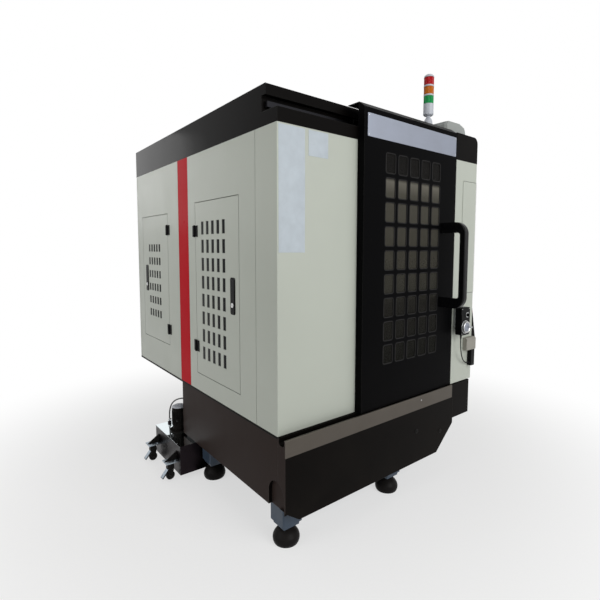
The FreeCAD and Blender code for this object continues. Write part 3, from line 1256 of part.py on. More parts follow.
def servo_motor(face, axis):
    """Square servo motor standing on the face point along axis, with its encoder cap."""
    half = MOTOR_SIDE / 2
    can_half = half - MOTOR_FLANGE_LIP
    cap_half = MOTOR_CAP / 2
    flange = rounded_box(-half, -half, 0, half, half, MOTOR_FLANGE, MOTOR_ROUND, UP)
    can = rounded_box(-can_half, -can_half, MOTOR_FLANGE, can_half, can_half, MOTOR_LENGTH, MOTOR_CAN_ROUND,
                      UP)
    cap = rounded_box(-cap_half, -cap_half, MOTOR_LENGTH, cap_half, cap_half, MOTOR_LENGTH + MOTOR_CAP_HEIGHT,
                      MOTOR_ROUND, UP)
    motor = flange.fuse([can, cap])
    motor.Placement = FreeCAD.Placement(V(*face), FreeCAD.Rotation(UP, axis))
    return motor


def y_screw_start():
    return Y_GUIDE_FRONT + MOTOR_LENGTH + SCREW_START_GAP


def y_screw_end():
    return Y_GUIDE_BACK - FLANGE


def make_screw_supports():
    """Bearing blocks: two in the bed's trough for the Y screw, two on the column for the Z screw."""
    half = BEARING_HALF
    blocks = []
    for y in (y_screw_start(), y_screw_end() - FLANGE):
        block = box(AXIS_X - half, y, TROUGH_FLOOR, AXIS_X + half, y + FLANGE, Y_SCREW_Z + half)
        blocks.append(block.cut(rod((AXIS_X, y, Y_SCREW_Z), BACK, SCREW_JOURNAL + BORE_GAP, FLANGE)))
    for z in (z_screw_foot(), Z_GUIDE_TOP):
        block = box(AXIS_X - half, Z_SCREW_Y - half + BEARING_FORWARD, z,
                    AXIS_X + half, COLUMN_FRONT + COLUMN_CHANNEL_DEPTH, z + FLANGE)
        blocks.append(block.cut(rod((AXIS_X, Z_SCREW_Y, z), UP, SCREW_JOURNAL + BORE_GAP, FLANGE)))
    return blocks


def z_screw_foot():
    return Z_GUIDE_BOTTOM - 2 * FLANGE


def make_y_screw():
    inner = FLANGE - JOURNAL_LENGTH + COUPLING_GAP
    start = y_screw_start() + inner
    return ball_screw((AXIS_X, start, Y_SCREW_Z), BACK, y_screw_end() - inner - start)


def make_z_screw():
    inner = FLANGE - JOURNAL_LENGTH + COUPLING_GAP
    start = z_screw_foot() + inner
    return ball_screw((AXIS_X, Z_SCREW_Y, start), UP, Z_GUIDE_TOP + FLANGE - inner - start)


def make_axis_motors():
    """Servo motors of the Y axis, in the bed's trough, and of the Z axis, on top of the column."""
    y_motor = servo_motor((AXIS_X, y_screw_start(), Y_SCREW_Z), FORWARD)
    z_motor = servo_motor((AXIS_X, Z_SCREW_Y, Z_GUIDE_TOP + FLANGE), UP)
    return [y_motor, z_motor]


def make_spindle_head():
    """Head casting: rounded nose block, web back to four carriages, and the nut bracket of the Z screw."""
    web_half = HEAD_WEB_HALF
    plate_half = Z_GUIDE_SPREAD + BLOCK_WIDTH / 2 - HEAD_PLATE_TRIM
    heel = HEAD_BOTTOM - HEAD_HEEL
    nose = rod((AXIS_X, SPINDLE_Y, HEAD_BOTTOM), UP, HEAD_FRONT_RADIUS, HEAD_TOP - HEAD_BOTTOM)
    side = [(SPINDLE_Y, HEAD_BOTTOM + HEAD_CHIN), (SPINDLE_Y, HEAD_TOP), (HEAD_BACK, HEAD_TOP),
            (HEAD_BACK, heel),
            (HEAD_BACK - HEAD_FOOT, heel)]
    web = prism([(AXIS_X - web_half, y, z) for y, z in side], RIGHT * 2 * web_half)
    plate = box(AXIS_X - plate_half, HEAD_BACK - HEAD_PLATE, heel, AXIS_X + plate_half, HEAD_BACK, HEAD_TOP)
    quill_foot = HEAD_NOSE_Z + SPINDLE_TIP
    quill = rod((AXIS_X, SPINDLE_Y, quill_foot), UP, QUILL_RADIUS, HEAD_BOTTOM - quill_foot + SHEET)
    reach = BLOCK_LENGTH / 2 + END_MARGIN
    centres = [(AXIS_X + side_x * Z_GUIDE_SPREAD, z) for side_x in (-1, 1)
               for z in (heel + reach, HEAD_TOP - reach)]
    blocks = carriage_blocks(centres, UP, FORWARD, -COLUMN_FRONT)
    nut_z = (HEAD_BOTTOM + HEAD_TOP) / 2
    nut = box(AXIS_X - NUT_RADIUS, HEAD_BACK - SHEET, nut_z,
              AXIS_X + NUT_RADIUS, Z_SCREW_Y + NUT_RADIUS, nut_z + 2 * NUT_HALF_LENGTH)
    body = nose.fuse([web, plate, quill] + blocks + [nut])
    screw_way = rod((AXIS_X, Z_SCREW_Y, heel - SHEET), UP, SCREW_RADIUS + RUN_GAP,
                    HEAD_TOP - heel + 2 * SHEET)
    bore = rod((AXIS_X, SPINDLE_Y, HEAD_NOSE_Z), UP, SPINDLE_RADIUS + BORE_GAP, HEAD_TOP - HEAD_NOSE_Z)
    return body.cut([screw_way, bore])


def make_spindle():
    """Rotating spindle with a flared nose and the 7:24 taper socket."""
    length = HEAD_TOP - HEAD_NOSE_Z - SPINDLE_END_GAP
    shoulder = SPINDLE_TIP - 2 * RUN_GAP
    throat = SOCKET_MOUTH - SOCKET_DEPTH * SOCKET_TAPER
    profile = [(SOCKET_MOUTH, 0), (QUILL_RADIUS - 14, 0), (QUILL_RADIUS - 6, shoulder),
               (SPINDLE_RADIUS, shoulder),
               (SPINDLE_RADIUS, length), (DRAWBAR_RADIUS, length), (DRAWBAR_RADIUS, SOCKET_DEPTH + 12),
               (throat, SOCKET_DEPTH)]
    return turned(profile, (AXIS_X, SPINDLE_Y, HEAD_NOSE_Z))


def make_tool_holder():
    """Tool holder in the spindle: taper, V-flange, collet nose and a short end mill."""
    r = HOLDER_FLANGE_RADIUS
    mouth = SOCKET_MOUTH - HOLDER_GAP
    tip = mouth - (SOCKET_DEPTH - 1) * SOCKET_TAPER
    tool_end = -HOLDER_LENGTH - TOOL_OUT
    profile = [(0, tool_end), (TOOL_RADIUS, tool_end), (TOOL_RADIUS, -HOLDER_LENGTH), (14, -HOLDER_LENGTH),
               (16, -HOLDER_LENGTH + 4), (16, -24), (r, -24), (r, -19), (r - 4, -16), (r - 4, -13), (r, -10),
               (r, -3), (mouth, -1), (tip, SOCKET_DEPTH - 2), (0, SOCKET_DEPTH - 2)]
    return turned(profile, (AXIS_X, SPINDLE_Y, HEAD_NOSE_Z))


def make_spindle_motor():
    """Spindle motor on the head, square with rounded corners and a fan cowl."""
    half = SPINDLE_MOTOR_SIDE / 2
    top = HEAD_TOP + SPINDLE_MOTOR_HEIGHT
    body = rounded_box(AXIS_X - half, SPINDLE_Y - half, HEAD_TOP, AXIS_X + half, SPINDLE_Y + half, top,
                       SPINDLE_MOTOR_ROUND, UP)
    return body.fuse(rod((AXIS_X, SPINDLE_Y, top), UP, half - FAN_COWL_STEP, FAN_COWL_HEIGHT))


# --- tool magazine -------------------------------------------------------------------------------------

def make_magazine_beam():
    """Arm from the column's left side that carries the magazine's rails over the disc."""
    top = BEAM_BOTTOM + BEAM_THICKNESS
    right = AXIS_X - HEAD_HALF_WIDTH - BEAM_HEAD_GAP
    arm_right = AXIS_X - COLUMN_HALF_WIDTH
    arm_front = SPINDLE_Y + BEAM_HALF_DEPTH
    arm_back = COLUMN_BACK - BEAM_BACK_GAP
    plate = box(BEAM_LEFT, SPINDLE_Y - BEAM_HALF_DEPTH, BEAM_BOTTOM, right, arm_front, top)
    arm = box(arm_right - BEAM_ARM_WIDTH, arm_front, BEAM_BOTTOM, arm_right, arm_back, top)
    rib = box(arm_right - BEAM_RIB_WIDTH, arm_front, BEAM_BOTTOM, arm_right, arm_back,
              BEAM_BOTTOM + BEAM_RIB_HEIGHT)
    rails = []
    for side in (-1, 1):
        y = SPINDLE_Y + side * SLIDE_RAIL_SPREAD
        rails.append(box(BEAM_LEFT, y - SLIDE_RAIL / 2, BEAM_BOTTOM - SLIDE_RAIL, right, y + SLIDE_RAIL / 2,
                         BEAM_BOTTOM))
    return plate.fuse([arm, rib] + rails)


def make_magazine_slide():
    """Slide that hangs on the beam's rails, with the hub the disc turns on and its gear motor."""
    half = SLIDE_HALF_LENGTH
    half_depth = SLIDE_HALF_DEPTH
    top = BEAM_BOTTOM - RUN_GAP
    body = box(DISC_X - half, SPINDLE_Y - half_depth, HUB_TOP, DISC_X + half, SPINDLE_Y + half_depth, top)
    grooves = []
    for side in (-1, 1):
        y = SPINDLE_Y + side * SLIDE_RAIL_SPREAD
        grooves.append(box(DISC_X - half, y - SLIDE_RAIL / 2 - RUN_GAP, BEAM_BOTTOM - SLIDE_RAIL - RUN_GAP,
                           DISC_X + half, y + SLIDE_RAIL / 2 + RUN_GAP, top))
    keeper_foot = DISC_TOP - DISC_THICKNESS - KEEPER_HEIGHT
    hub = rod((DISC_X, SPINDLE_Y, DISC_TOP + RUN_GAP), UP, HUB_RADIUS, HUB_TOP - DISC_TOP - RUN_GAP)
    axle = rod((DISC_X, SPINDLE_Y, keeper_foot), UP, HUB_RADIUS / 3, DISC_TOP + SHEET - keeper_foot)
    keeper = rod((DISC_X, SPINDLE_Y, keeper_foot), UP, HUB_RADIUS / 2, KEEPER_HEIGHT - RUN_GAP)
    motor = rod((DISC_X - GEAR_MOTOR_OUT, SPINDLE_Y, HUB_TOP + GEAR_MOTOR_RISE - GEAR_MOTOR_LENGTH), UP,
                GEAR_MOTOR_RADIUS, GEAR_MOTOR_LENGTH)
    shelf = box(DISC_X - GEAR_MOTOR_OUT - GEAR_MOTOR_RADIUS, SPINDLE_Y - SHELF_HALF_DEPTH, HUB_TOP,
                DISC_X - half + SHEET, SPINDLE_Y + SHELF_HALF_DEPTH, HUB_TOP + SHELF_THICKNESS)
    return body.cut(grooves).fuse([hub, axle, motor, shelf, keeper])


def make_tool_disc():
    """Magazine disc with a pair of gripper fingers for every tool."""
    z = DISC_TOP - DISC_THICKNESS
    ring = [(HUB_RADIUS / 3 + RUN_GAP, 0), (DISC_RADIUS, 0), (DISC_RADIUS, DISC_THICKNESS),
            (HUB_RADIUS / 3 + RUN_GAP, DISC_THICKNESS)]
    solids = [turned(ring, (DISC_X, SPINDLE_Y, z))]
    reach = TOOL_CIRCLE - DISC_RADIUS + FINGER_OVERLAP
    for index in range(TOOL_COUNT):
        angle = 360.0 * index / TOOL_COUNT
        for side in (-1, 1):
            inner = side * FINGER_GAP / 2
            outer = side * (FINGER_GAP / 2 + FINGER_THICKNESS)
            root = math.sqrt(DISC_RADIUS ** 2 - outer ** 2) - FINGER_THICKNESS
            finger = box(DISC_X + root, SPINDLE_Y + min(inner, outer), z - FINGER_THICKNESS,
                         DISC_X + DISC_RADIUS + reach, SPINDLE_Y + max(inner, outer), z)
            finger.rotate(V(DISC_X, SPINDLE_Y, 0), UP, angle)
            solids.append(finger)
    return solids


# --- roof, console and pendant -------------------------------------------------------------------------

def make_tower_base():
    """White foot, stem, body, rings and cap of the signal tower."""
    x, y = TOWER_X, TOWER_Y
    r = TOWER_RADIUS
    top = TOWER_BODY_BOTTOM - Z_ROOF
    stem = turned([(0, 0), (TOWER_FOOT_RADIUS, 0), (TOWER_FOOT_RADIUS, 6), (r - 4, 6), (r - 4, top - 44),
                   (r - 6, top - 30), (r - 12, top - 18), (TOWER_STEM_RADIUS, top - 8),
                   (TOWER_STEM_RADIUS, top), (0, top)], (x, y, Z_ROOF))
    body = turned([(0, 0), (r - 6, 0), (r, 6), (r, TOWER_BODY_HEIGHT), (0, TOWER_BODY_HEIGHT)],
                  (x, y, TOWER_BODY_BOTTOM))
    solids = [stem.fuse(body)]
    for index in (1, 2):
        z = TOWER_BODY_BOTTOM + TOWER_BODY_HEIGHT + index * LENS_HEIGHT + (index - 1) * LENS_RING
        solids.append(rod((x, y, z), UP, r, LENS_RING))
    cap = [(0, 0), (r, 0), (r - 2, TOWER_CAP * 0.5), (r * 0.6, TOWER_CAP), (0, TOWER_CAP)]
    solids.append(turned(cap, (x, y, tower_lens_top())))
    return solids


def tower_lens_top():
    return TOWER_BODY_BOTTOM + TOWER_BODY_HEIGHT + 3 * LENS_HEIGHT + 2 * LENS_RING


def make_tower_lenses():
    """Green, amber and red lenses, from the bottom up."""
    solids = []
    for index in range(3):
        z = TOWER_BODY_BOTTOM + TOWER_BODY_HEIGHT + index * (LENS_HEIGHT + LENS_RING)
        solids.append(rod((TOWER_X, TOWER_Y, z), UP, TOWER_RADIUS - 1, LENS_HEIGHT))
    return solids


def make_roof_cowl():
    """Light faceted cowl at the right end of the roof: a prism whose front edges slope back."""
    back = COWL_BACK - COWL_FRONT - COWL_SLOPE
    face = [(WIDTH - inset, COWL_FRONT, Z_TOP + rise) for inset, rise in COWL_FACE]
    middle = (face[0][0] + face[-1][0]) / 2
    full = [(x + math.copysign(COWL_SLOPE / 2, x - middle), COWL_FRONT + COWL_SLOPE, z) for x, y, z in face]
    full = [(min(x, WIDTH - SHEET), y, z) for x, y, z in full]
    loops = []
    for points in (face, full):
        corners = [V(*point) for point in points]
        loops.append(Part.makePolygon(corners + corners[:1]))
    nose = Part.makeLoft(loops, True, True)
    return nose.fuse(prism(full, BACK * back)).removeSplitter()


def make_console_bracket():
    """Plate on the right side and the cream box in front that carries the console's cables."""
    plate = box(WIDTH, CONSOLE_PLATE_FRONT, CONSOLE_BOTTOM + CONSOLE_PLATE_INSET,
                CONSOLE_LEFT, CONSOLE_BACK - CONSOLE_WALL, CONSOLE_TOP - CONSOLE_PLATE_INSET)
    front, low, high = CABLE_BOX_FRONT, CABLE_BOX_BOTTOM, CABLE_BOX_TOP
    wall, slope = -FRONT_STEP, CABLE_BOX_SLOPE
    side = [(front, low), (wall, low), (wall, high), (front + slope, high), (front, high - slope)]
    cable_box = prism([(CABLE_BOX_LEFT, y, z) for y, z in side], RIGHT * (CABLE_BOX_RIGHT - CABLE_BOX_LEFT))
    return [plate, cable_box]


def console_front(z):
    """Y of the console's sloping front at height z."""
    share = (z - CONSOLE_BOTTOM) / (CONSOLE_TOP - CONSOLE_BOTTOM)
    return CONSOLE_FRONT_LOW + share * (CONSOLE_FRONT_HIGH - CONSOLE_FRONT_LOW)


def console_normal():
    """Outward normal of the sloping front."""
    rise = CONSOLE_TOP - CONSOLE_BOTTOM
    run = CONSOLE_FRONT_HIGH - CONSOLE_FRONT_LOW
    return V(0, -rise, run).normalize()


def on_console(across, z, lift=0.0):
    """A point on the console's front: across from its left side, at height z, lifted off the face."""
    normal = console_normal()
    return V(CONSOLE_LEFT + across, console_front(z), z) + normal * lift


def console_turn():
    return FreeCAD.Rotation(UP, console_normal())


def make_console_box():
    """Operator console: sloping front with rounded long edges, keypad block and screen recess."""
    x0 = CONSOLE_LEFT
    side = [(x0, CONSOLE_FRONT_LOW, CONSOLE_BOTTOM), (x0, CONSOLE_BACK, CONSOLE_BOTTOM),
            (x0, CONSOLE_BACK, CONSOLE_TOP), (x0, CONSOLE_FRONT_HIGH, CONSOLE_TOP)]
    body = prism(side, RIGHT * CONSOLE_WIDTH)
    corners = [e for e in body.Edges if e.CenterOfMass.x > x0 + CONSOLE_WIDTH - 1 or
               (e.CenterOfMass.y < CONSOLE_FRONT_HIGH + 1 and e.CenterOfMass.x < x0 + 1)]
    corners = [e for e in corners if abs(e.tangentAt(e.FirstParameter).x) < 0.5]
    body = body.makeFillet(CONSOLE_CORNER, corners)
    wall = CONSOLE_WALL
    low = CONSOLE_BOTTOM + wall
    high = CONSOLE_TOP - wall
    inside = prism([(x0 + wall, console_front(low) + 2 * wall, low), (x0 + wall, CONSOLE_BACK - wall, low),
                    (x0 + wall, CONSOLE_BACK - wall, high),
                    (x0 + wall, console_front(high) + 2 * wall, high)],
                   RIGHT * (CONSOLE_WIDTH - 2 * wall))
    recess = tilted_block(screen_left(), SCREEN_BOTTOM, SCREEN_WIDTH, SCREEN_HEIGHT, -SCREEN_SINK,
                          CONSOLE_CORNER)
    keys = []
    for column in range(KEY_COLUMNS):
        for row in range(KEY_ROWS):
            keys.append(tilted_block(KEY_LEFT + column * KEY_PITCH_X, KEY_BOTTOM + row * KEY_PITCH_Z,
                                     KEY_WIDTH, KEY_HEIGHT, -KEY_RISE / 2, KEY_RISE))
    body = body.cut([inside, recess])
    holes = []
    for across, z, radius in console_holes():
        start = on_console(across, z, -FLANGE)
        holes.append(Part.makeCylinder(radius, 2 * FLANGE, start, console_normal()))
    return body.fuse(keys).cut(holes)


def screen_left():
    return (CONSOLE_WIDTH - SCREEN_WIDTH) / 2


def tilted_block(across, z, width, height, low, high):
    """A block standing on the console's front from depth low to depth high, its lower edge at height z."""
    block = Part.makeBox(width, height, high - low, V(0, 0, low))
    normal = console_normal()
    turn = FreeCAD.Rotation(RIGHT, normal.cross(RIGHT), normal, "XYZ")
    block.Placement = FreeCAD.Placement(on_console(across, z), turn)
    return block


def console_holes():
    """Across, height and radius of the holes for the stop button, the start button and the knob."""
    gap = RUN_GAP
    return [STOP_PLACE + (STOP_STEM + gap,), START_PLACE + (BUTTON_STEM + gap,),
            KNOB_PLACE + (KNOB_STEM + BORE_GAP,)]


def console_turned(profile, place):
    solid = turned(profile, (0, 0, 0))
    solid.Placement = FreeCAD.Placement(on_console(*place), console_turn())
    return solid


def make_stop_button():
    """Mushroom emergency stop button."""
    r = STOP_RADIUS
    foot = STOP_TRAVEL + 4
    profile = [(0, -20), (STOP_STEM, -20), (STOP_STEM, foot), (r, foot + 2), (r, foot + 10),
               (r * 0.7, foot + 16), (0, foot + 17)]
    return console_turned(profile, STOP_PLACE)


def make_start_button():
    """Flush-capped cycle start button."""
    r = BUTTON_RADIUS
    foot = BUTTON_TRAVEL + 1
    profile = [(0, -18), (BUTTON_STEM, -18), (BUTTON_STEM, foot), (r, foot), (r, foot + 6), (r - 2, foot + 8),
               (0, foot + 8)]
    return console_turned(profile, START_PLACE)


def make_override_knob():
    """Feed override knob with a pointer ridge."""
    r = KNOB_RADIUS
    profile = [(0, -20), (KNOB_STEM, -20), (KNOB_STEM, RUN_GAP), (r, RUN_GAP), (r - 2, 16), (r - 5, 18),
               (0, 18)]
    body = turned(profile, (0, 0, 0))
    ridge = rounded_box(-3, -r + 3, 16, 3, r - 3, 24, 2.5, UP)
    knob = body.fuse(ridge)
    knob.Placement = FreeCAD.Placement(on_console(*KNOB_PLACE), console_turn())
    return knob


def make_console_screen():
    return tilted_block(screen_left(), SCREEN_BOTTOM, SCREEN_WIDTH, SCREEN_HEIGHT, -SCREEN_SINK,
                        SCREEN_THICKNESS - SCREEN_SINK)


def make_pendant_body():
    """Black case of the hand-held pulse generator, waisted, and the gland box at its cord's other end."""
    x0, x1 = PENDANT_LEFT, PENDANT_LEFT + PENDANT_WIDTH
    z0, z1 = PENDANT_BOTTOM, PENDANT_BOTTOM + PENDANT_HEIGHT
    body = rounded_box(x0, PENDANT_FRONT, z0, x1, PENDANT_BACK, z1, PENDANT_CORNER, BACK)
    waist = rod((x0 - WAIST_OUT, PENDANT_FRONT, z0 + WAIST_RISE), BACK, WAIST_RADIUS,
                PENDANT_BACK - PENDANT_FRONT)
    wheel_bore = rod((WHEEL_X, PENDANT_FRONT, WHEEL_Z), BACK, WHEEL_SHAFT + BORE_GAP, WHEEL_SHAFT_LENGTH + 2)
    dial_bore = rod((DIAL_X, PENDANT_FRONT, DIAL_Z), BACK, DIAL_SHAFT + BORE_GAP, DIAL_SHAFT_LENGTH + 2)
    gland = box(CORD_GLAND_LEFT, CABLE_BOX_FRONT, CORD_GLAND_BOTTOM,
                CORD_GLAND_LEFT + CORD_GLAND_WIDTH, -FRONT_STEP, CABLE_BOX_BOTTOM)
    return [body.cut([waist, wheel_bore, dial_bore]),
            gland.makeChamfer(CORD_GLAND_CHAMFER, edges_along(gland, UP))]


def make_pendant_hanger():
    """Steel hook plate that holds the pendant on the right panel."""
    x = PENDANT_LEFT + PENDANT_WIDTH / 2
    top = PENDANT_BOTTOM + PENDANT_HEIGHT
    half, lip_half = HANGER_WIDTH / 2, HANGER_LIP_WIDTH / 2
    front = PENDANT_BACK + HANGER_STANDOFF
    plate = rounded_box(x - half, front, top - HANGER_DROP, x + half, -FRONT_STEP, top + HANGER_RISE,
                        HANGER_CORNER, BACK)
    shelf = box(x - lip_half, PENDANT_BACK, top - 60, x + lip_half, front + 1, top - 20)
    lip = box(x - lip_half, PENDANT_FRONT + 12, top, x + lip_half, front + 1, top + HANGER_LIP)
    return plate.fuse([shelf, lip])


def make_handwheel():
    """Pulse wheel: disc with a dished face, shaft and finger knob."""
    r, t = WHEEL_RADIUS, WHEEL_THICKNESS
    profile = [(0, -WHEEL_SHAFT_LENGTH), (WHEEL_SHAFT, -WHEEL_SHAFT_LENGTH), (WHEEL_SHAFT, RUN_GAP),
               (r - 2, RUN_GAP),
               (r, 3), (r, t - 3), (r - 3, t), (r - 8, t - 3), (0, t - 3)]
    disc = turned(profile, (WHEEL_X, PENDANT_FRONT, WHEEL_Z), FORWARD)
    knob = turned([(0, 0), (4, 0), (4, 12), (5.5, 16), (5.5, 20), (0, 22)],
                  (WHEEL_X + r * 0.62, PENDANT_FRONT - t + 4, WHEEL_Z), FORWARD)
    return disc.fuse(knob)


def make_axis_dial():
    """Axis selector of the pendant."""
    r = DIAL_RADIUS
    profile = [(0, -DIAL_SHAFT_LENGTH), (DIAL_SHAFT, -DIAL_SHAFT_LENGTH), (DIAL_SHAFT, RUN_GAP), (r, RUN_GAP),
               (r - 1, 9), (0, 9)]
    dial = turned(profile, (DIAL_X, PENDANT_FRONT, DIAL_Z), FORWARD)
    ridge = rounded_box(DIAL_X - 1.8, PENDANT_FRONT - 14, DIAL_Z - r + 1, DIAL_X + 1.8, PENDANT_FRONT - 8,
                        DIAL_Z + r - 1, 1.5, BACK)
    return dial.fuse(ridge)


# --- coolant tank --------------------------------------------------------------------------------------

def make_coolant_tank():
    """Welded tank with a folded rim and a lid flush on it."""
    shell = tray(TANK_LEFT, TANK_FRONT, TANK_BOTTOM, TANK_RIGHT, TANK_BACK, TANK_TOP - TANK_SHEET, UP,
                 TANK_SHEET)
    lid = box(TANK_LEFT - TANK_RIM / 4, TANK_FRONT - TANK_RIM / 4, TANK_TOP - TANK_SHEET,
              TANK_LEFT + TANK_LID,
              TANK_BACK + TANK_RIM / 4, TANK_TOP)
    fitting = hexagon_nut((HOSE_ROUTE[0][0], HOSE_ROUTE[0][1], TANK_TOP), HOSE_FITTING_WIDTH,
                          HOSE_FITTING_HEIGHT, BORE_GAP)
    return [shell, lid, fitting]


def make_tank_casters():
    """Casters bolted to the tank's ends: bracket, fork with a brake pedal, and wheel."""
    solids = []
    for x_face, out in ((TANK_LEFT, -1), (TANK_RIGHT, 1)):
        for y in CASTER_Y:
            solids += make_caster(x_face, out, y)
    return solids


def make_caster(x_face, out, y):
    """One caster: gusseted plate on the tank's end, swivel crown, two cheeks, brake pedal and wheel."""
    r = CASTER_WHEEL_RADIUS
    half_width = CASTER_WHEEL_WIDTH / 2
    x = x_face + out * CASTER_OUT
    hub = FLOOR + r
    top = FLOOR + 2 * r + CASTER_RISE
    far = x + out * CASTER_PLATE_HALF
    bracket = box(min(x_face, far), y - CASTER_PLATE_HALF, top, max(x_face, far), y + CASTER_PLATE_HALF,
                  top + CASTER_PLATE)
    gusset = prism([(x_face, y - CASTER_CHEEK, top + CASTER_PLATE),
                    (far, y - CASTER_CHEEK, top + CASTER_PLATE),
                    (x_face, y - CASTER_CHEEK, top + CASTER_GUSSET)], BACK * 2 * CASTER_CHEEK)
    cheeks = []
    for side in (-1, 1):
        inner = y + side * (half_width + 1)
        near = min(inner, inner + side * CASTER_CHEEK)
        outline = [(x - 18, near, top - 12), (x + 18, near, top - 12), (x + 20, near, top - 34),
                   (x + 8, near, hub - 8), (x - 8, near, hub - 8), (x - 20, near, top - 34)]
        cheeks.append(prism(outline, BACK * CASTER_CHEEK))
    crown = rod((x, y, top - 14), UP, 18, 14)
    pedal = box(min(x, x + out * PEDAL_LENGTH), y - PEDAL_WIDTH / 2, top - 26,
                max(x, x + out * PEDAL_LENGTH), y + PEDAL_WIDTH / 2, top - 26 + PEDAL_THICKNESS)
    pedal.rotate(V(x, y, top - 26), BACK, out * PEDAL_ANGLE)
    neck = box(x - 18, y - 14, top - 34, x + 18, y + 14, top - 12)
    fork = crown.fuse(cheeks + [neck, pedal, bracket, gusset])
    axle = rod((x, y - half_width - 1, hub), BACK, 4, CASTER_WHEEL_WIDTH + 2)
    wheel = turned([(0, 0), (r - 2, 0), (r, 3), (r, CASTER_WHEEL_WIDTH - 3), (r - 2, CASTER_WHEEL_WIDTH),
                    (0, CASTER_WHEEL_WIDTH)], (x, y - half_width, hub), BACK)
    clear = rod((x, y - half_width - 1, hub), BACK, r + 2, CASTER_WHEEL_WIDTH + 2)
    return [fork.cut(clear), wheel.fuse(axle)]


def make_coolant_pump():
    """Immersion pump motor: flange, finned can and domed cap."""
    r = PUMP_RADIUS
    height = PUMP_TOP - TANK_TOP
    cap = height - PUMP_CAP
    profile = [(0, 0), (PUMP_FLANGE, 0), (PUMP_FLANGE, PUMP_FLANGE_HEIGHT), (r, PUMP_FLANGE_HEIGHT), (r, cap),
               (r + 2, cap), (r + 2, height - 5), (r - 6, height), (0, height)]
    return turned(profile, (PUMP_X, PUMP_Y, TANK_TOP))


# --- assembly ------------------------------------------------------------------------------------------

def build_nodes():
    """Every sub-part by name, each a list of its solids."""
    cord = tube(CORD_ROUTE, CORD_DIAMETER, "pendant_cord")
    hose = tube(HOSE_ROUTE, HOSE_DIAMETER, "coolant_hose")
    return {
        "bed": make_bed(),
        "levelling_feet": make_levelling_feet(),
        "base_tray": make_base_tray(),
        "base_skirts": [make_front_skirt()] + make_side_skirts(),
        "door_sill": [make_door_sill()],
        "left_corner_panel": [make_left_corner_panel()],
        "right_front_panel": [make_right_front_panel()],
        "side_panels": make_left_side_panels() + make_right_side_panels(),
        "side_stripes": make_side_stripes(),
        "top_rim": make_top_rim() + [make_roof_panel()],
        "front_cap": [make_front_cap(), make_right_header()],
        "door_rail": [make_door_rail()],
        "rear_wall": [make_rear_wall()],
        "chamber_liner": make_chamber_liner(),
        "electrical_panel": make_electrical_panel(),
        "hinges": make_hinges(),
        "front_vent_door": [make_vent_door(FRONT_VENT, True)],
        "rear_vent_door": [make_vent_door(REAR_VENT, False)],
        "front_vent_latch": [make_latch(FRONT_VENT, True)],
        "rear_vent_latch": [make_latch(REAR_VENT, False)],
        "cabinet_door": [make_cabinet_door()],
        "main_switch": [make_main_switch()],
        "door_frame": [make_door_frame()],
        "door_glazing": [make_door_glazing()],
        "nameplate": [make_nameplate()],
        "door_handle": [make_door_handle()],
        "column": [make_column()],
        "fixed_guides": make_fixed_guides() + make_screw_supports(),
        "axis_motors": make_axis_motors(),
        "saddle": [make_saddle()] + make_x_guides(),
        "x_motor": [make_x_motor()],
        "table": [make_table()],
        "x_screw": [make_x_screw()],
        "y_screw": [make_y_screw()],
        "z_screw": [make_z_screw()],
        "spindle_head": [make_spindle_head()],
        "spindle_motor": [make_spindle_motor()],
        "spindle": [make_spindle()],
        "tool_holder": [make_tool_holder()],
        "magazine_beam": [make_magazine_beam()],
        "magazine_slide": [make_magazine_slide()],
        "tool_disc": make_tool_disc(),
        "tower_base": make_tower_base(),
        "tower_lenses": make_tower_lenses(),
        "roof_cowl": [make_roof_cowl()],
        "console_bracket": make_console_bracket(),
        "console_box": [make_console_box()],
        "console_screen": [make_console_screen()],
        "stop_button": [make_stop_button()],
        "start_button": [make_start_button()],
        "override_knob": [make_override_knob()],
        "pendant_body": make_pendant_body(),
        "pendant_hanger": [make_pendant_hanger()],
        "pendant_cord": [cord],
        "handwheel": [make_handwheel()],
        "axis_dial": [make_axis_dial()],
        "coolant_tank": make_coolant_tank(),
        "tank_casters": make_tank_casters(),
        "coolant_pump": [make_coolant_pump()],
        "coolant_hose": [hose],
    }


def main():
    os.makedirs("parts", exist_ok=True)
    nodes = build_nodes()
    whole = Part.makeCompound([solid for solids in nodes.values() for solid in solids]).BoundBox
    shift = V(-(whole.XMin + whole.XMax) / 2, -(whole.YMin + whole.YMax) / 2, -FLOOR)
    print("shift", shift.x, shift.y, "nodes", len(nodes))
    for name, solids in nodes.items():
        shape = solids[0] if len(solids) == 1 else Part.makeCompound(solids)
        shape = shape.copy()
        shape.translate(shift)
        if not shape.isValid():
            print("invalid", name)
        shape.exportStep(os.path.join("parts", name + ".step"))
    return shift


main()
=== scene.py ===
"""Finishes, cords and small fittings of an enclosed machining centre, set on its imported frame."""

import math

import bmesh
import bpy
from mathutils import Matrix, Vector
from types import SimpleNamespace as Sizes


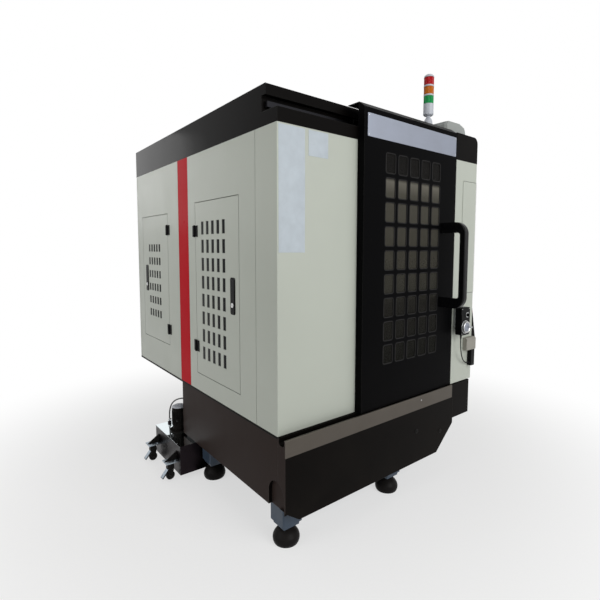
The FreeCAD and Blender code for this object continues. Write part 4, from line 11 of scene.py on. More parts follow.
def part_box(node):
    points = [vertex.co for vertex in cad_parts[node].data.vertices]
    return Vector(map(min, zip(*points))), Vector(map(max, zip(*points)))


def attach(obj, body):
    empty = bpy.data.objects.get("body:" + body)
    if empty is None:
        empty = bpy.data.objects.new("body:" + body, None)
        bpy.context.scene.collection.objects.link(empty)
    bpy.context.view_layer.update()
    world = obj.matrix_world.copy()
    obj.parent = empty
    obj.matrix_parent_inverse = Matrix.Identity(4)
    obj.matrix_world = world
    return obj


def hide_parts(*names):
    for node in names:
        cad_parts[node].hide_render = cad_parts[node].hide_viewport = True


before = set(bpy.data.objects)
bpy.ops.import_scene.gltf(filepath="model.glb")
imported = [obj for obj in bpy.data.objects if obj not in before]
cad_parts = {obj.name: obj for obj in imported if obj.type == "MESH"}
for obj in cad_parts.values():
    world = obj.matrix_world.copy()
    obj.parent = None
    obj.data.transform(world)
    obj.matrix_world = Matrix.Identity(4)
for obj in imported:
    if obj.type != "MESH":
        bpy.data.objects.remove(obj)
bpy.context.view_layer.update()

bl_info = {
    "name": "Machining Centre Looks",
    "version": (1, 0, 0),
    "blender": (4, 5, 0),
    "location": "View3D > Sidebar > Machine",
    "description": "Dresses the machining centre's frame with finishes, cords and small fittings",
    "category": "Object",
}

MM = 0.001
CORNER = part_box("left_corner_panel")[0]     # lower front left corner of the cabinet
ROOT = "machine_frame"
LEFT, RIGHT, FRONT, BACK, DOWN, UP = (-1, 0, 0), (1, 0, 0), (0, -1, 0), (0, 1, 0), (0, 0, -1), (0, 0, 1)

# The cabinet, in millimetres: X from its left side, Y from its front, Z above the drawing's base line
FLOOR = 48.0
WIDTH = 1445.0
DEPTH = 1823.0
CABINET_BOTTOM = 598.0
BAND = 1924.0
STRIPE = Sizes(front=906.0, back=1048.0)
DOOR_FRONT = -42.0
DOOR_SKIN = 3.0
WINDOW = Sizes(left=618.3, top=1878.0, width=72.0, height=97.0, pitch_x=94.6, pitch_z=120.1, columns=5,
               rows=9, corner=12.0)
PLATE = Sizes(left=486.0, right=1215.0, bottom=1937.0, top=2045.0, front=-43.5)
SILL_FRONT = -57.0
SKIRT_BOLTS = [(889.0, 402.0), (1111.0, 345.0)]
STRIP_SCREW = (926.0, 570.0)
FRONT_VENT = Sizes(name="front_vent", y=318.0, z=697.0, slot_y=141.0, slot_z=96.0, slot_width=30.0,
                   slot_height=70.0, pitch_y=61.0, pitch_z=98.4, columns=5, rows=8, hinge_y=810.0,
                   hinge_z=(855.0, 1502.0), inward=-1, latch=(365.0, 1088.5), latch_body="front_latch")
REAR_VENT = Sizes(name="rear_vent", y=1227.0, z=780.0, slot_y=143.0, slot_z=157.0, slot_width=28.0,
                  slot_height=49.0, pitch_y=48.0, pitch_z=89.4, columns=5, rows=6, hinge_y=1227.0,
                  hinge_z=(885.0, 1521.0), inward=1, latch=(1614.0, 1113.0), latch_body="rear_latch")
MAT_BORDER = 10.0                           # how far the felt reaches past the outer slots
MAT_FRONT = 2.2                             # the felt lies just behind the sheet
CORNER_FLANGE = 186.0                       # line of screws behind the front corner's fold
PANEL = Sizes(screws=7, end=26.0, side=16.0, stripe=14.0, rear=40.0)    # screws in a line and their edges
LATCH = Sizes(width=36.0, length=170.0, front=-4.0, lock=40.0)
HINGE = Sizes(height=62.0, leaf=26.0, barrel=6.0, sheet=3.0, screws=19.0)
CASTER = Sizes(faces=((-85.0, -1), (620.0, 1)), y=(938.0, 1235.0), out=40.0, plate_half=34.0,
               plate_bottom=154.0, plate_rise=6.3, pedal_angle=52.0, pedal_drop=26.0, wheel=25.0)
FEET = [(98.0, 75.0), (797.0, 75.0), (98.0, 812.0), (1150.0, 812.0)]
EAR_BOTTOM = 132.0
COVER = Sizes(left=1305.0, bottom=1143.0, width=140.0, height=665.0, corner=5.0, front=-45.0)
TOWER = Sizes(x=1190.0, y=137.0, radius=30.0, lens_bottom=2271.0, lens=45.0, ring=9.0)
PUMP = Sizes(x=8.0, y=1120.0, radius=42.0, top=411.0)
CONSOLE = Sizes(left=1450.0, width=400.0, bottom=735.0, top=1480.0, front_low=157.0, front_high=257.0,
                screw_side=14.0, screw_end=22.0)
KEYS = Sizes(left=62.0, bottom=1090.0, pitch_x=36.0, pitch_z=30.0, width=28.0, height=22.0, rise=4.0,
             columns=8, rows=4, blue_column=6, blue_row=3)
SCREEN = Sizes(left=75.0, bottom=1235.0, width=250.0, height=190.0, slope=1.004)    # slope: length per height
STOP_PLACE = (330.0, 965.0)
START_PLACE = (70.0, 965.0)
KNOB_PLACE = (200.0, 965.0)
PENDANT = Sizes(left=1225.0, right=1313.0, bottom=902.0, top=1066.0, front=-105.0)
WHEEL = Sizes(x=1268.0, z=950.0, face=11.0, marks=50)
DIAL = Sizes(x=1287.0, z=1020.0, radius=10.0)

# The two bare sheets on the left front panel: opposite corners and the rounding of the edges
BLANK_SHEETS = [((7.0, -0.7, 1390.0), (146.0, 0.1, 1918.0), 0.3),
                ((165.0, -0.9, 1808.0), (277.0, 0.1, 1918.0), 0.4)]

# Route points of the two lines, in the same millimetres
CORD_ROUTE = [(1255, -85, 902), (1255, -85, 872), (1258, -84, 838), (1267, -81, 804), (1282, -77, 772),
              (1304, -71, 744), (1332, -65, 723), (1363, -60, 711), (1383, -58, 708), (1400, -58, 708)]
CORD_DIAMETER = 6.0
HOSE_ROUTE = [(0, 1268, 267), (0, 1268, 312), (3, 1266, 348), (14, 1257, 385), (34, 1230, 413),
              (62, 1184, 429), (96, 1130, 432), (128, 1093, 425), (148, 1075, 418), (154, 1057, 415),
              (154, 1035, 415)]
HOSE_DIAMETER = 9.0

# The photo's camera: its turn is yaw, pitch and roll in degrees, its shift in shares of the picture's width.
# Each lamp of the studio has its name, place, width and the setting of its power.
CAMERA = Sizes(place=(-1012.9, -1482.1, 1405.7), turn=(39.047, -4.480, 0.209),
               shift=(-0.0207, -0.029), sensor=36.0)
LAMP_AIM = (700.0, 800.0, 1200.0)
LAMPS = [("front_softbox", (900.0, -4300.0, 2700.0), 3200.0, "key_power"),
         ("left_softbox", (-3600.0, 700.0, 2600.0), 3000.0, "fill_power"),
         ("rear_softbox", (-1150.0, 5320.0, 2460.0), 1400.0, "rear_power")]
STAGE_MIDDLE = (700.0, 800.0, FLOOR)
FLOOR_RING = 3000.0                         # a loop of the floor's mesh between its middle and its rim
PLAIN_WHITE = (1.0, 1.0, 1.0, 1.0)


def at(x, y, z):
    """A place given in millimetres from the cabinet's corner, in the row frame's metres."""
    return Vector(CORNER) + Vector((x, y, z - CABINET_BOTTOM)) * MM


def linear(code):
    """An sRGB hex colour as linear red, green and blue."""
    parts = [int(code[i:i + 2], 16) / 255 for i in (1, 3, 5)]
    return tuple(c / 12.92 if c <= 0.04045 else ((c + 0.055) / 1.055) ** 2.4 for c in parts)


def opaque(code):
    """An sRGB hex colour as a linear colour with full opacity."""
    return linear(code) + (1.0,)


def shade(colour, factor):
    """A colour made darker or lighter, with full opacity."""
    return tuple(min(1.0, c * factor) for c in colour[:3]) + (1.0,)


# --- settings ---

def colour_property(name, description, code):
    return bpy.props.FloatVectorProperty(name=name, description=description, subtype="COLOR", size=3,
                                         min=0.0, max=1.0, default=linear(code))


def length_property(name, description, millimetres):
    return bpy.props.FloatProperty(name=name, description=description, subtype="DISTANCE", unit="LENGTH",
                                   min=0.0, default=millimetres * MM)


def power_property(name, description, watts):
    return bpy.props.FloatProperty(name=name, description=description, subtype="POWER", unit="POWER",
                                   min=0.0, default=watts)


class StageSettings(bpy.types.PropertyGroup):
    """Light, floor and camera."""
    key_power: power_property("Key light", "Power of the large front light", 122.0)
    fill_power: power_property("Fill light", "Power of the light on the left", 34.0)
    rear_power: power_property("Rear light", "Power of the small light behind the left side", 9.0)
    world_level: bpy.props.FloatProperty(name="Room light", description="Even light from all sides", min=0.0,
                                         default=0.27)
    floor_radius: length_property("Floor radius", "Half the width of the studio floor", 26000.0)
    shadow_radius: length_property("Shadow radius", "The floor is plain white beyond this distance", 1500.0)
    floor_lift: bpy.props.FloatProperty(name="Floor lift",
                                        description="Share of plain white in the floor by the machine",
                                        subtype="FACTOR", min=0.0, max=1.0, default=0.6)
    lens: bpy.props.FloatProperty(name="Focal length", description="Focal length of the camera",
                                  subtype="DISTANCE_CAMERA", min=1.0, default=25.756)


class PaintSettings(bpy.types.PropertyGroup):
    """Colours of the painted and moulded pieces."""
    white: colour_property("White panels", "Powder coat of the panels", "#BDC2B7")
    black: colour_property("Black sheet", "Powder coat of the rim, cap and base", "#0B0908")
    door: colour_property("Door", "Powder coat of the sliding door", "#09090A")
    red: colour_property("Stripe", "Powder coat of the side stripes", "#C8021A")
    cast: colour_property("Castings", "Paint of the bed, column and head", "#3A4858")
    liner: colour_property("Chamber", "Paint inside the chamber", "#8E8C84")
    cream: colour_property("Cable box", "Paint of the cable box", "#96938A")
    cowl: colour_property("Roof cowl", "Moulded cowl on the roof", "#A5A9A6")
    lens_red: colour_property("Red tier", "Top tier of the signal tower", "#B8000F")
    lens_amber: colour_property("Amber tier", "Middle tier of the signal tower", "#C96A08")
    lens_green: colour_property("Green tier", "Bottom tier of the signal tower", "#009A4C")


class FittingSettings(bpy.types.PropertyGroup):
    """Sizes of the small fittings."""
    seal_width: length_property("Window seal", "Visible width of the rubber round each window", 3.0)
    seal_lift: length_property("Seal height", "How far the window seal stands off the door", 1.2)
    bolt_radius: length_property("Skirt bolt", "Radius of the skirt's button heads", 7.5)
    screw_radius: length_property("Small screw", "Radius of the small screw heads", 4.0)
    rib_depth: length_property("Lens rib", "Depth of the ribs moulded in the tower's lenses", 0.7)
    relief_length: length_property("Strain relief", "Length of the cord's tapered sleeve", 30.0)
    mat_thickness: length_property("Filter mat", "Thickness of the mats behind the vent slots", 4.0)


# --- node and finish helpers ---

def add_node(tree, kind, settings):
    """Adds a shader node; settings name its options or sockets, and another node's output is linked."""
    node = tree.nodes.new("ShaderNode" + kind)
    for key, value in settings.items():
        if isinstance(value, bpy.types.NodeSocket):
            tree.links.new(value, node.inputs[key])
        elif isinstance(key, str) and hasattr(node, key):
            setattr(node, key, value)
        else:
            node.inputs[key].default_value = value
    return node


def seen_directly(tree):
    """1 for what the camera sees, also in gloss and through glass, and 0 for light on surfaces."""
    rays = add_node(tree, "LightPath", {}).outputs
    seen = add_node(tree, "Math", {"operation": "ADD", 0: rays["Is Camera Ray"], 1: rays["Is Glossy Ray"]})
    return add_node(tree, "Math", {"operation": "ADD", "use_clamp": True, 0: seen.outputs[0],
                                   1: rays["Is Transmission Ray"]}).outputs[0]


class Finish:
    """A material in the making, with a short call for each step that several finishes share."""

    def __init__(self, name):
        self.material = bpy.data.materials.new(name)
        self.material.use_nodes = True
        self.tree = self.material.node_tree
        self.tree.nodes.clear()
        self.place = self.out("TexCoord", {}, "Object")

    def out(self, kind, settings, socket=0):
        """The output of a new node."""
        return add_node(self.tree, kind, settings).outputs[socket]

    def noise(self, size, detail, **more):
        """Noise with cells of that size in metres."""
        return self.out("TexNoise", {"Scale": 1 / size, "Detail": detail, "Vector": self.place, **more})

    def lines(self, scale, detail, roughness):
        """Noise drawn out into lines by its scale along each axis."""
        drawn = self.out("Mapping", {"Scale": scale, "Vector": self.place})
        return self.noise(1.0, detail, Roughness=roughness, Vector=drawn)

    def math(self, operation, *values):
        return self.out("Math", {"operation": operation, **dict(enumerate(values))})

    def split(self, vector):
        return add_node(self.tree, "SeparateXYZ", {"Vector": vector}).outputs

    def mix(self, share, first, second, blend="MIX"):
        return self.out("Mix", {"data_type": "RGBA", "blend_type": blend, 0: share, 6: first, 7: second}, 2)

    def tone(self, share, colour, dark, light):
        """The colour between a dark and a light shade of it."""
        return self.mix(share, shade(colour, dark), shade(colour, light))

    def between(self, value, low, high, start=0.3, end=0.7):
        """A value between start and end, mapped to one between low and high."""
        return self.out("MapRange", {0: value, 1: start, 2: end, 3: low, 4: high})

    def normal(self):
        return self.out("NewGeometry", {}, "Normal")

    def bend(self, radius):
        """The normal with edges rounded by a radius in millimetres."""
        return self.out("Bevel", {"samples": 4, "Radius": radius * MM})

    def bumps(self, height, strength, depth, **base):
        """The normal with bumps of a depth in millimetres."""
        return self.out("Bump", {"Height": height, "Strength": strength, "Distance": depth * MM, **base})

    def surface(self, settings):
        return self.out("BsdfPrincipled", settings)

    def close(self, surface):
        """Ends the finish with its surface, given as an output or as the settings of one shader."""
        if isinstance(surface, dict):
            surface = self.surface(surface)
        add_node(self.tree, "OutputMaterial", {"Surface": surface})
        return self.material


def powder_coat(name, colour, roughness, specular, edge_wear_and_highlight, dust, sheen_and_mist=0.0):
    """Powder coat baked on folded sheet steel: even, with orange peel, bends with a painted highlight and low
    dust.

    The last number gives a brown tone to faces that look left, beside the tank: a painted sheen of the light
    on that side, and coolant film.
    """
    made = Finish(name)
    # Orange peel has cells of about 2 mm; it is drawn at 7 mm so that it shows.
    peel = made.noise(0.007, 2.0)
    cloud = made.noise(0.45, 4.0, Roughness=0.6)
    # Hands and wipes leave soft patches a hand's breadth across.
    patch = made.noise(0.16, 3.0, Distortion=0.6)
    fall = made.between(made.split(made.place)["Z"], 0.0, dust, 0.9, 0.05)
    film = made.math("MULTIPLY", fall, patch)
    dusty = made.mix(film, made.tone(cloud, colour, 0.95, 1.04), opaque("#6A6058"))
    normal = made.normal()
    facing = made.split(normal)
    # Faces that look left are painted brown: a painted sheen of light on that side, and coolant film.
    sheened_and_misted = made.mix(made.between(facing["X"], 0.0, sheen_and_mist, -0.2, -0.9), dusty, opaque("#7A6660"))
    # Bends and cut edges are painted lighter for a few millimetres: a painted highlight on the rounded bends,
    # and coat rubbed thin there.
    bend = made.bend(2.5)
    turn = made.out("VectorMath", {"operation": "DOT_PRODUCT", 0: bend, 1: normal}, "Value")
    worn_and_highlit = made.mix(made.between(turn, 0.0, edge_wear_and_highlight, 0.995, 0.86), sheened_and_misted, opaque("#8A8B88"))
    rough = made.between(patch, roughness - 0.03, roughness + 0.05)
    # Dust settles on level sheets and takes their gloss away.
    settled = made.between(facing["Z"], 0.0, 0.45, 0.8, 0.97)
    return made.close({
        "IOR": 1.5, "Specular IOR Level": specular, "Base Color": worn_and_highlit,
        "Roughness": made.math("ADD", rough, settled), "Normal": made.bumps(peel, 0.10, 0.4, Normal=bend)})


def cast_paint(name, colour, roughness):
    """Two-pack paint sprayed on a sand casting: satin, with the sand's grain and oil in the hollows."""
    made = Finish(name)
    # Moulding sand leaves grain of about 1 mm; it is drawn at 5 mm so that it shows.
    grain = made.noise(0.005, 4.0, Roughness=0.7)
    swell = made.noise(0.06, 2.0)
    height = made.math("MULTIPLY_ADD", grain, 0.35, swell)
    return made.close({
        "IOR": 1.5, "Specular IOR Level": 0.35, "Base Color": made.tone(swell, colour, 0.78, 1.16),
        "Roughness": made.between(swell, roughness - 0.1, roughness + 0.1),
        "Normal": made.bumps(height, 0.35, 0.8, Normal=made.bend(3.0))})


def brushed_metal(name, colour, roughness, scale):
    """Metal drawn under an abrasive belt: long fine lines in one direction that pull the highlight out."""
    made = Finish(name)
    # A 180 grit belt cuts lines of 0.1 mm; they are drawn about 1.5 mm wide so that they show.
    lines = made.lines(scale, 6.0, 0.75)
    stain = made.noise(0.12, 3.0)
    tone = made.tone(lines, colour, 0.80, 1.15)
    return made.close({
        "Metallic": 1.0, "Base Color": made.mix(stain, tone, (0.86, 0.84, 0.82, 1.0), "MULTIPLY"),
        "Roughness": made.between(lines, roughness - 0.08, roughness + 0.10),
        "Normal": made.bumps(lines, 0.25, 0.15, Normal=made.bend(1.2))})


def stained_and_shaded_tank(name, colour, side):
    """Cold-rolled stainless tank sheet: the lid is wiped bright; the sides are painted dark, partly dried
    emulsion and partly painted shade and dark reflection.
    """
    made = Finish(name)
    lid = made.between(made.split(made.normal())["Z"], 0.0, 1.0, 0.3, 0.8)
    # Rolling marks are 0.1 mm wide; they are drawn about 2 mm wide so that they show.
    lines = made.lines((6.0, 480.0, 480.0), 4.0, 0.6)
    stain = made.noise(0.09, 5.0, Distortion=0.8)
    # The sides' colour is painted dark: dried emulsion, and painted shade with a painted dark reflection.
    film = made.tone(stain, side, 0.7, 1.25)
    bright = made.tone(lines, colour, 0.92, 1.06)
    # The lid keeps its bright rolled face, so it mirrors the room; the stained sides scatter it.
    rough = made.math("MULTIPLY", made.between(stain, 0.24, 0.40), made.between(lid, 1.0, 0.12, 0.0, 1.0))
    return made.close({
        "Metallic": 1.0, "Base Color": made.mix(lid, film, bright), "Roughness": rough,
        "Normal": made.bumps(lines, 0.05, 0.1, Normal=made.bend(1.5))})


def moulded(name, colour, roughness, specular, texture):
    """Thermoplastic from an eroded mould: fine even texture, soft highlights, slightly shiny edges."""
    made = Finish(name)
    # The mould's texture is about 0.3 mm; it is drawn at 1.5 mm so that it shows.
    grain = made.noise(0.0015, 2.0)
    hands = made.noise(0.04, 3.0)
    return made.close({
        "IOR": 1.5, "Specular IOR Level": specular, "Base Color": made.tone(hands, colour, 0.88, 1.10),
        "Roughness": made.between(hands, roughness - 0.08, roughness + 0.08),
        "Normal": made.bumps(grain, texture, 0.1, Normal=made.bend(1.0))})


def galvanised(name, colour):
    """Hot-dip zinc on sheet: flat crystals of spangle, each with its own grey."""
    made = Finish(name)
    # Spangle crystals are about 12 mm across.
    crystals = add_node(made.tree, "TexVoronoi", {"Scale": 1 / 0.012, "Vector": made.place}).outputs
    return made.close({
        "Metallic": 0.9, "Base Color": made.tone(crystals["Color"], colour, 0.82, 1.12),
        "Roughness": made.between(crystals["Color"], 0.38, 0.58, 0.0, 1.0),
        "Normal": made.bumps(crystals["Distance"], 0.08, 0.1)})


def vulcanised(name, colour):
    """Black rubber from a plain mould: matt, with a dusty bloom."""
    made = Finish(name)
    bloom = made.noise(0.02, 5.0, Roughness=0.7)
    return made.close({
        "IOR": 1.5, "Roughness": 0.78, "Specular IOR Level": 0.25,
        "Base Color": made.tone(bloom, colour, 0.8, 1.7), "Normal": made.bumps(bloom, 0.2, 0.2)})


def safety_pane(name):
    """Polycarbonate fogged by dried coolant: the room shows through grey and soft, with painted light and
    shade by height, darkest in the top row and low down.
    """
    made = Finish(name)
    height = made.between(made.split(made.place)["Z"], 0.0, 1.0, 0.80, 1.90)
    # The panes' tones by height are painted light and shade: a bright band in the second row, a dark top row
    # and darker rows lower down.
    painted_pane_light = add_node(made.tree, "ValToRGB", {0: height})
    stops = painted_pane_light.color_ramp.elements
    stops[0].color, stops[1].color = opaque("#20201D"), opaque("#1E1D1C")
    for position, code in ((0.25, "#2C2B28"), (0.32, "#403F39"), (0.45, "#48463F"), (0.76, "#5A5850"),
                           (0.812, "#7C7970"), (0.832, "#232221")):
        stops.new(position).color = opaque(code)
    splash = made.noise(0.05, 5.0, Roughness=0.65)
    tone = made.mix(splash, painted_pane_light.outputs[0], (0.75, 0.74, 0.72, 1.0), "MULTIPLY")
    fog = made.surface({"IOR": 1.58, "Specular IOR Level": 0.02, "Base Color": tone,
                        "Roughness": made.between(splash, 0.22, 0.42)})
    clear = made.out("BsdfTransparent", {"Color": (0.62, 0.61, 0.58, 1.0)})
    return made.close(made.out("MixShader", {0: 0.78, 1: clear, 2: fog}))


def clear_tier(name, colour):
    """Acrylic lens, injection moulded and dyed through: deep colour, bright ribs."""
    made = Finish(name)
    depth = made.noise(0.015, 2.0)
    return made.close({
        "IOR": 1.49, "Roughness": 0.18, "Transmission Weight": 0.05, "Specular IOR Level": 0.12,
        "Base Color": made.tone(depth, colour, 0.85, 1.15), "Normal": made.bumps(depth, 0.05, 0.2)})


def machined_and_ground(name, colour, roughness, pitch):
    """Iron or steel cut on a machine: bright, with the cutter's even lines in the face."""
    made = Finish(name)
    # Grinding leaves lines of 0.05 mm; the pitch given here is coarser so that they show.
    cut = made.out("TexWave", {"wave_type": "BANDS", "bands_direction": "DIAGONAL", "Scale": 1 / (pitch * 20),
                               "Distortion": 1.5, "Detail": 3.0, "Vector": made.place})
    oil = made.noise(0.08, 4.0)
    return made.close({
        "Metallic": 1.0, "Base Color": made.tone(oil, colour, 0.82, 1.10),
        "Roughness": made.between(oil, roughness - 0.08, roughness + 0.12, 0.2, 0.8),
        "Normal": made.bumps(cut, 0.15, 0.08, Normal=made.bend(1.0))})


def dark_display(name):
    """Hardened glass over a switched-off display: black, glossy, with faint finger marks."""
    made = Finish(name)
    marks = made.noise(0.025, 5.0)
    tone = made.mix(marks, opaque("#0B0F14"), opaque("#12181F"))
    return made.close({"IOR": 1.52, "Specular IOR Level": 0.4, "Base Color": tone,
                       "Roughness": made.between(marks, 0.06, 0.24, 0.4, 0.7)})


def fibre_mat(name, colour):
    """Needled polyester filter: a loose dark felt full of short fibres."""
    made = Finish(name)
    # Fibres are 0.05 mm; the felt is drawn with 3 mm tufts so that it shows.
    tufts = made.noise(0.003, 6.0, Roughness=0.8)
    return made.close({
        "Roughness": 0.95, "Specular IOR Level": 0.1, "Sheen Weight": 0.2,
        "Base Color": made.tone(tufts, colour, 0.45, 1.5), "Normal": made.bumps(tufts, 0.8, 1.5)})


# Each finish: the solids that wear it, its recipe, the colours (hex, or a paint setting's name) and the
# recipe's numbers. A finish without solids is for the pieces made here.
FINISHES = {
    "powder_coated_white_sheet": ("left_corner_panel right_front_panel side_panels rear_wall "
                                  "front_vent_door rear_vent_door cabinet_door",
                                  powder_coat, "white", 0.36, 0.42, 0.35, 0.08),
    "powder_coated_black_sheet": ("base_tray front_cap console_box axis_motors x_motor spindle_motor "
                                  "coolant_pump", powder_coat, "black", 0.40, 0.03, 0.10, 0.10),
    "coolant_misted_black_sheet": ("base_skirts", powder_coat, "black", 0.40, 0.03, 0.10, 0.05, 0.14),
    "gloss_enamelled_rim": ("top_rim", powder_coat, "black", 0.13, 0.035, 0.08, 0.0),
    "powder_coated_door_skin": ("door_frame", powder_coat, "door", 0.36, 0.015, 0.12, 0.03),
    "powder_coated_red_sheet": ("side_stripes", powder_coat, "red", 0.30, 0.02, 0.12, 0.02),
    "powder_coated_liner": ("chamber_liner", powder_coat, "liner", 0.5, 0.3, 0.3, 0.2),
    "powder_coated_cream_box": ("console_bracket", powder_coat, "cream", 0.4, 0.35, 0.3, 0.1),
    "black_passivated_zinc": ("levelling_feet hinges tank_casters",
                              powder_coat, "#131314", 0.38, 0.05, 0.15, 0.1),
    "painted_sand_casting": ("bed column saddle spindle_head magazine_beam", cast_paint, "cast", 0.42),
    "blackened_steel": ("door_rail", brushed_metal, "#232326", 0.42, (300.0, 300.0, 300.0)),
    "brushed_stainless_strip": ("door_sill", brushed_metal, "#5E5953", 0.44, (3.0, 60.0, 650.0)),
    "brushed_stainless_plate": ("pendant_hanger", brushed_metal, "#A9ACAD", 0.34, (8.0, 600.0, 600.0)),
    "anodised_aluminium_plate": ("nameplate", brushed_metal, "#969CA9", 0.5, (4.0, 60.0, 700.0)),
    "bright_zinc_plate": ("", brushed_metal, "#A9B4BE", 0.36, (120.0, 120.0, 120.0)),
    "satin_chromed_zinc": ("handwheel", brushed_metal, "#C9CBCC", 0.28, (200.0, 200.0, 200.0)),
    "coolant_stained_stainless": ("coolant_tank", stained_and_shaded_tank, "#EAF3F6", "#221D20"),
    "ground_tool_steel": ("fixed_guides x_screw y_screw z_screw spindle tool_holder",
                          machined_and_ground, "#A6A8AA", 0.28, 0.002),
    "milled_grey_iron": ("table magazine_slide tool_disc", machined_and_ground, "#7E7F7E", 0.40, 0.004),
    "galvanised_mounting_plate": ("electrical_panel", galvanised, "#A7A8A4"),
    "moulded_black_nylon": ("front_vent_latch rear_vent_latch override_knob pendant_body axis_dial",
                            moulded, "#0D0D0E", 0.38, 0.07, 0.15),
    "glossy_black_nylon": ("door_handle", moulded, "#0B0B0D", 0.20, 0.16, 0.04),
    "moulded_grey_keycap": ("", moulded, "#B9BBB6", 0.42, 0.35, 0.10),
    "moulded_blue_keycap": ("", moulded, "#3E6E96", 0.42, 0.35, 0.10),
    "moulded_yellow_collar": ("", moulded, "#D8B21C", 0.38, 0.35, 0.05),
    "moulded_red_abs": ("main_switch stop_button", moulded, "#B80D12", 0.28, 0.45, 0.05),
    "moulded_green_abs": ("start_button", moulded, "#1C8A40", 0.28, 0.45, 0.05),
    "moulded_white_abs": ("tower_base", moulded, "#C6CAD2", 0.32, 0.4, 0.05),
    "moulded_grey_cowl": ("roof_cowl", moulded, "cowl", 0.5, 0.3, 0.2),
    "matt_vinyl_film": ("", moulded, "#C2CBD2", 0.55, 0.3, 0.05),
    "extruded_smoked_hose": ("coolant_hose", moulded, "#4A4846", 0.25, 0.5, 0.05),
    "moulded_black_rubber": ("", vulcanised, "#151414"),
    "extruded_cable_jacket": ("pendant_cord", vulcanised, "#0F0F10"),
    "fogged_polycarbonate": ("door_glazing", safety_pane),
    "hardened_display_glass": ("console_screen", dark_display),
    "dyed_acrylic_red": ("tower_lenses", clear_tier, "lens_red"),
    "dyed_acrylic_amber": ("", clear_tier, "lens_amber"),
    "dyed_acrylic_green": ("", clear_tier, "lens_green"),
    "needled_filter_felt": ("", fibre_mat, "#17181A"),
}


def finish(name):
    """The finish of that name, made at its first use."""
    if name not in bpy.data.materials:
        paints = bpy.context.scene.machine_paints
        _, recipe, *amounts = FINISHES[name]
        for index, amount in enumerate(amounts):
            if isinstance(amount, str):
                amounts[index] = linear(amount) if amount.startswith("#") else getattr(paints, amount)
        recipe(name, *amounts)
    return bpy.data.materials[name]


# --- object and mesh helpers ---

def new_object(name, data):
    made = bpy.data.objects.new(name, data)
    bpy.context.scene.collection.objects.link(made)
    return made


def new_mesh(name, mesh_data, finishes):
    mesh = bpy.data.meshes.new(name)
    mesh_data.to_mesh(mesh)
    mesh_data.free()
    for one in finishes:
        mesh.materials.append(one)
    return mesh


def piece(name, mesh_data, finishes, body, angle=32.0):
    """Makes an object of a bmesh, gives it its finishes and lets it ride on a body."""
    mesh = new_mesh(name, mesh_data, [finish(one) for one in finishes])
    for polygon in mesh.polygons:
        polygon.use_smooth = True
    mesh.set_sharp_from_angle(angle=math.radians(angle))
    made = new_object(name, mesh)
    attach(made, body)
    return made


def mark(mesh_data, index, known=()):
    """Gives the faces that aren't known yet this finish of the piece, and returns all faces as known."""
    for face in mesh_data.faces:
        if face not in known:
            face.material_index = index
    return set(mesh_data.faces)


def towards(place, axis):
    """A frame at a place in cabinet millimetres whose Z points along an axis."""
    turn = Vector(axis).normalized().to_track_quat("Z", "Y")
    return Matrix.Translation(at(*place)) @ turn.to_matrix().to_4x4() @ Matrix.Scale(MM, 4)


def turned(spot, degrees):
    """A frame turned about its own Z."""
    return spot @ Matrix.Rotation(math.radians(degrees), 4, "Z")


def lathe(mesh_data, profile, place, segments=32, ripple=0.0):
    """Turns a profile of (radius, height, sides) about Z; sides of 6 gives a hexagon, ripple cuts ribs."""
    rings = []
    for entry in profile:
        radius, height = entry[:2]
        sides = entry[2] if len(entry) > 2 else 0
        if not radius:
            rings.append([mesh_data.verts.new(place @ Vector((0, 0, height)))])
            continue
        ring = []
        for step in range(segments):
            angle = 2 * math.pi * step / segments
            reach = radius - (ripple if step % 2 else 0.0)
            if sides:
                half = math.pi / sides
                reach = radius * math.cos(half) / math.cos((angle % (2 * half)) - half)
            spot = Vector((reach * math.cos(angle), reach * math.sin(angle), height))
            ring.append(mesh_data.verts.new(place @ spot))
        rings.append(ring)
    for low, high in zip(rings, rings[1:]):
        for step in range(segments):
            after = (step + 1) % segments
            corners = [low[step % len(low)], low[after % len(low)], high[after % len(high)],
                       high[step % len(high)]]
            corners = list(dict.fromkeys(corners))
            if len(corners) > 2:
                mesh_data.faces.new(corners)


def block(mesh_data, low, high, edge, place=None):
    """A box between two corners in cabinet millimetres, or in a frame's own, with rounded edges."""
    middle = (Vector(low) + Vector(high)) / 2
    size = Vector(high) - Vector(low)
    spot = Matrix.Translation(middle) @ Matrix.Diagonal(size).to_4x4()
    base = place or Matrix.Translation(at(0, 0, 0)) @ Matrix.Scale(MM, 4)
    made = bmesh.ops.create_cube(mesh_data, size=1.0, matrix=base @ spot)
    edges = list({one for vert in made["verts"] for one in vert.link_edges})
    if edge:
        bmesh.ops.bevel(mesh_data, geom=edges, offset=edge * MM, segments=2, profile=0.5, affect="EDGES")


def button_screw(mesh_data, place, axis, radius):
    """Button-head screw with a hexagon socket, its underside on the place."""
    height = radius * 0.62
    lathe(mesh_data, [(0, -0.2), (radius, -0.2), (radius, height * 0.3), (radius * 0.86, height * 0.75),
                      (radius * 0.55, height), (radius * 0.42, height, 6), (radius * 0.42, height * 0.35, 6),
                      (0, height * 0.35)], towards(place, axis), 24)


def pan_screw(mesh_data, place, axis, radius):
    """Low pan-head screw with a cross recess drawn as a small square socket."""
    height = radius * 0.5
    lathe(mesh_data, [(0, -0.2), (radius, -0.2), (radius, height * 0.35), (radius * 0.8, height * 0.85),
                      (radius * 0.4, height), (radius * 0.3, height, 4), (radius * 0.2, height * 0.3, 4),
                      (0, height * 0.3)], towards(place, axis), 16)


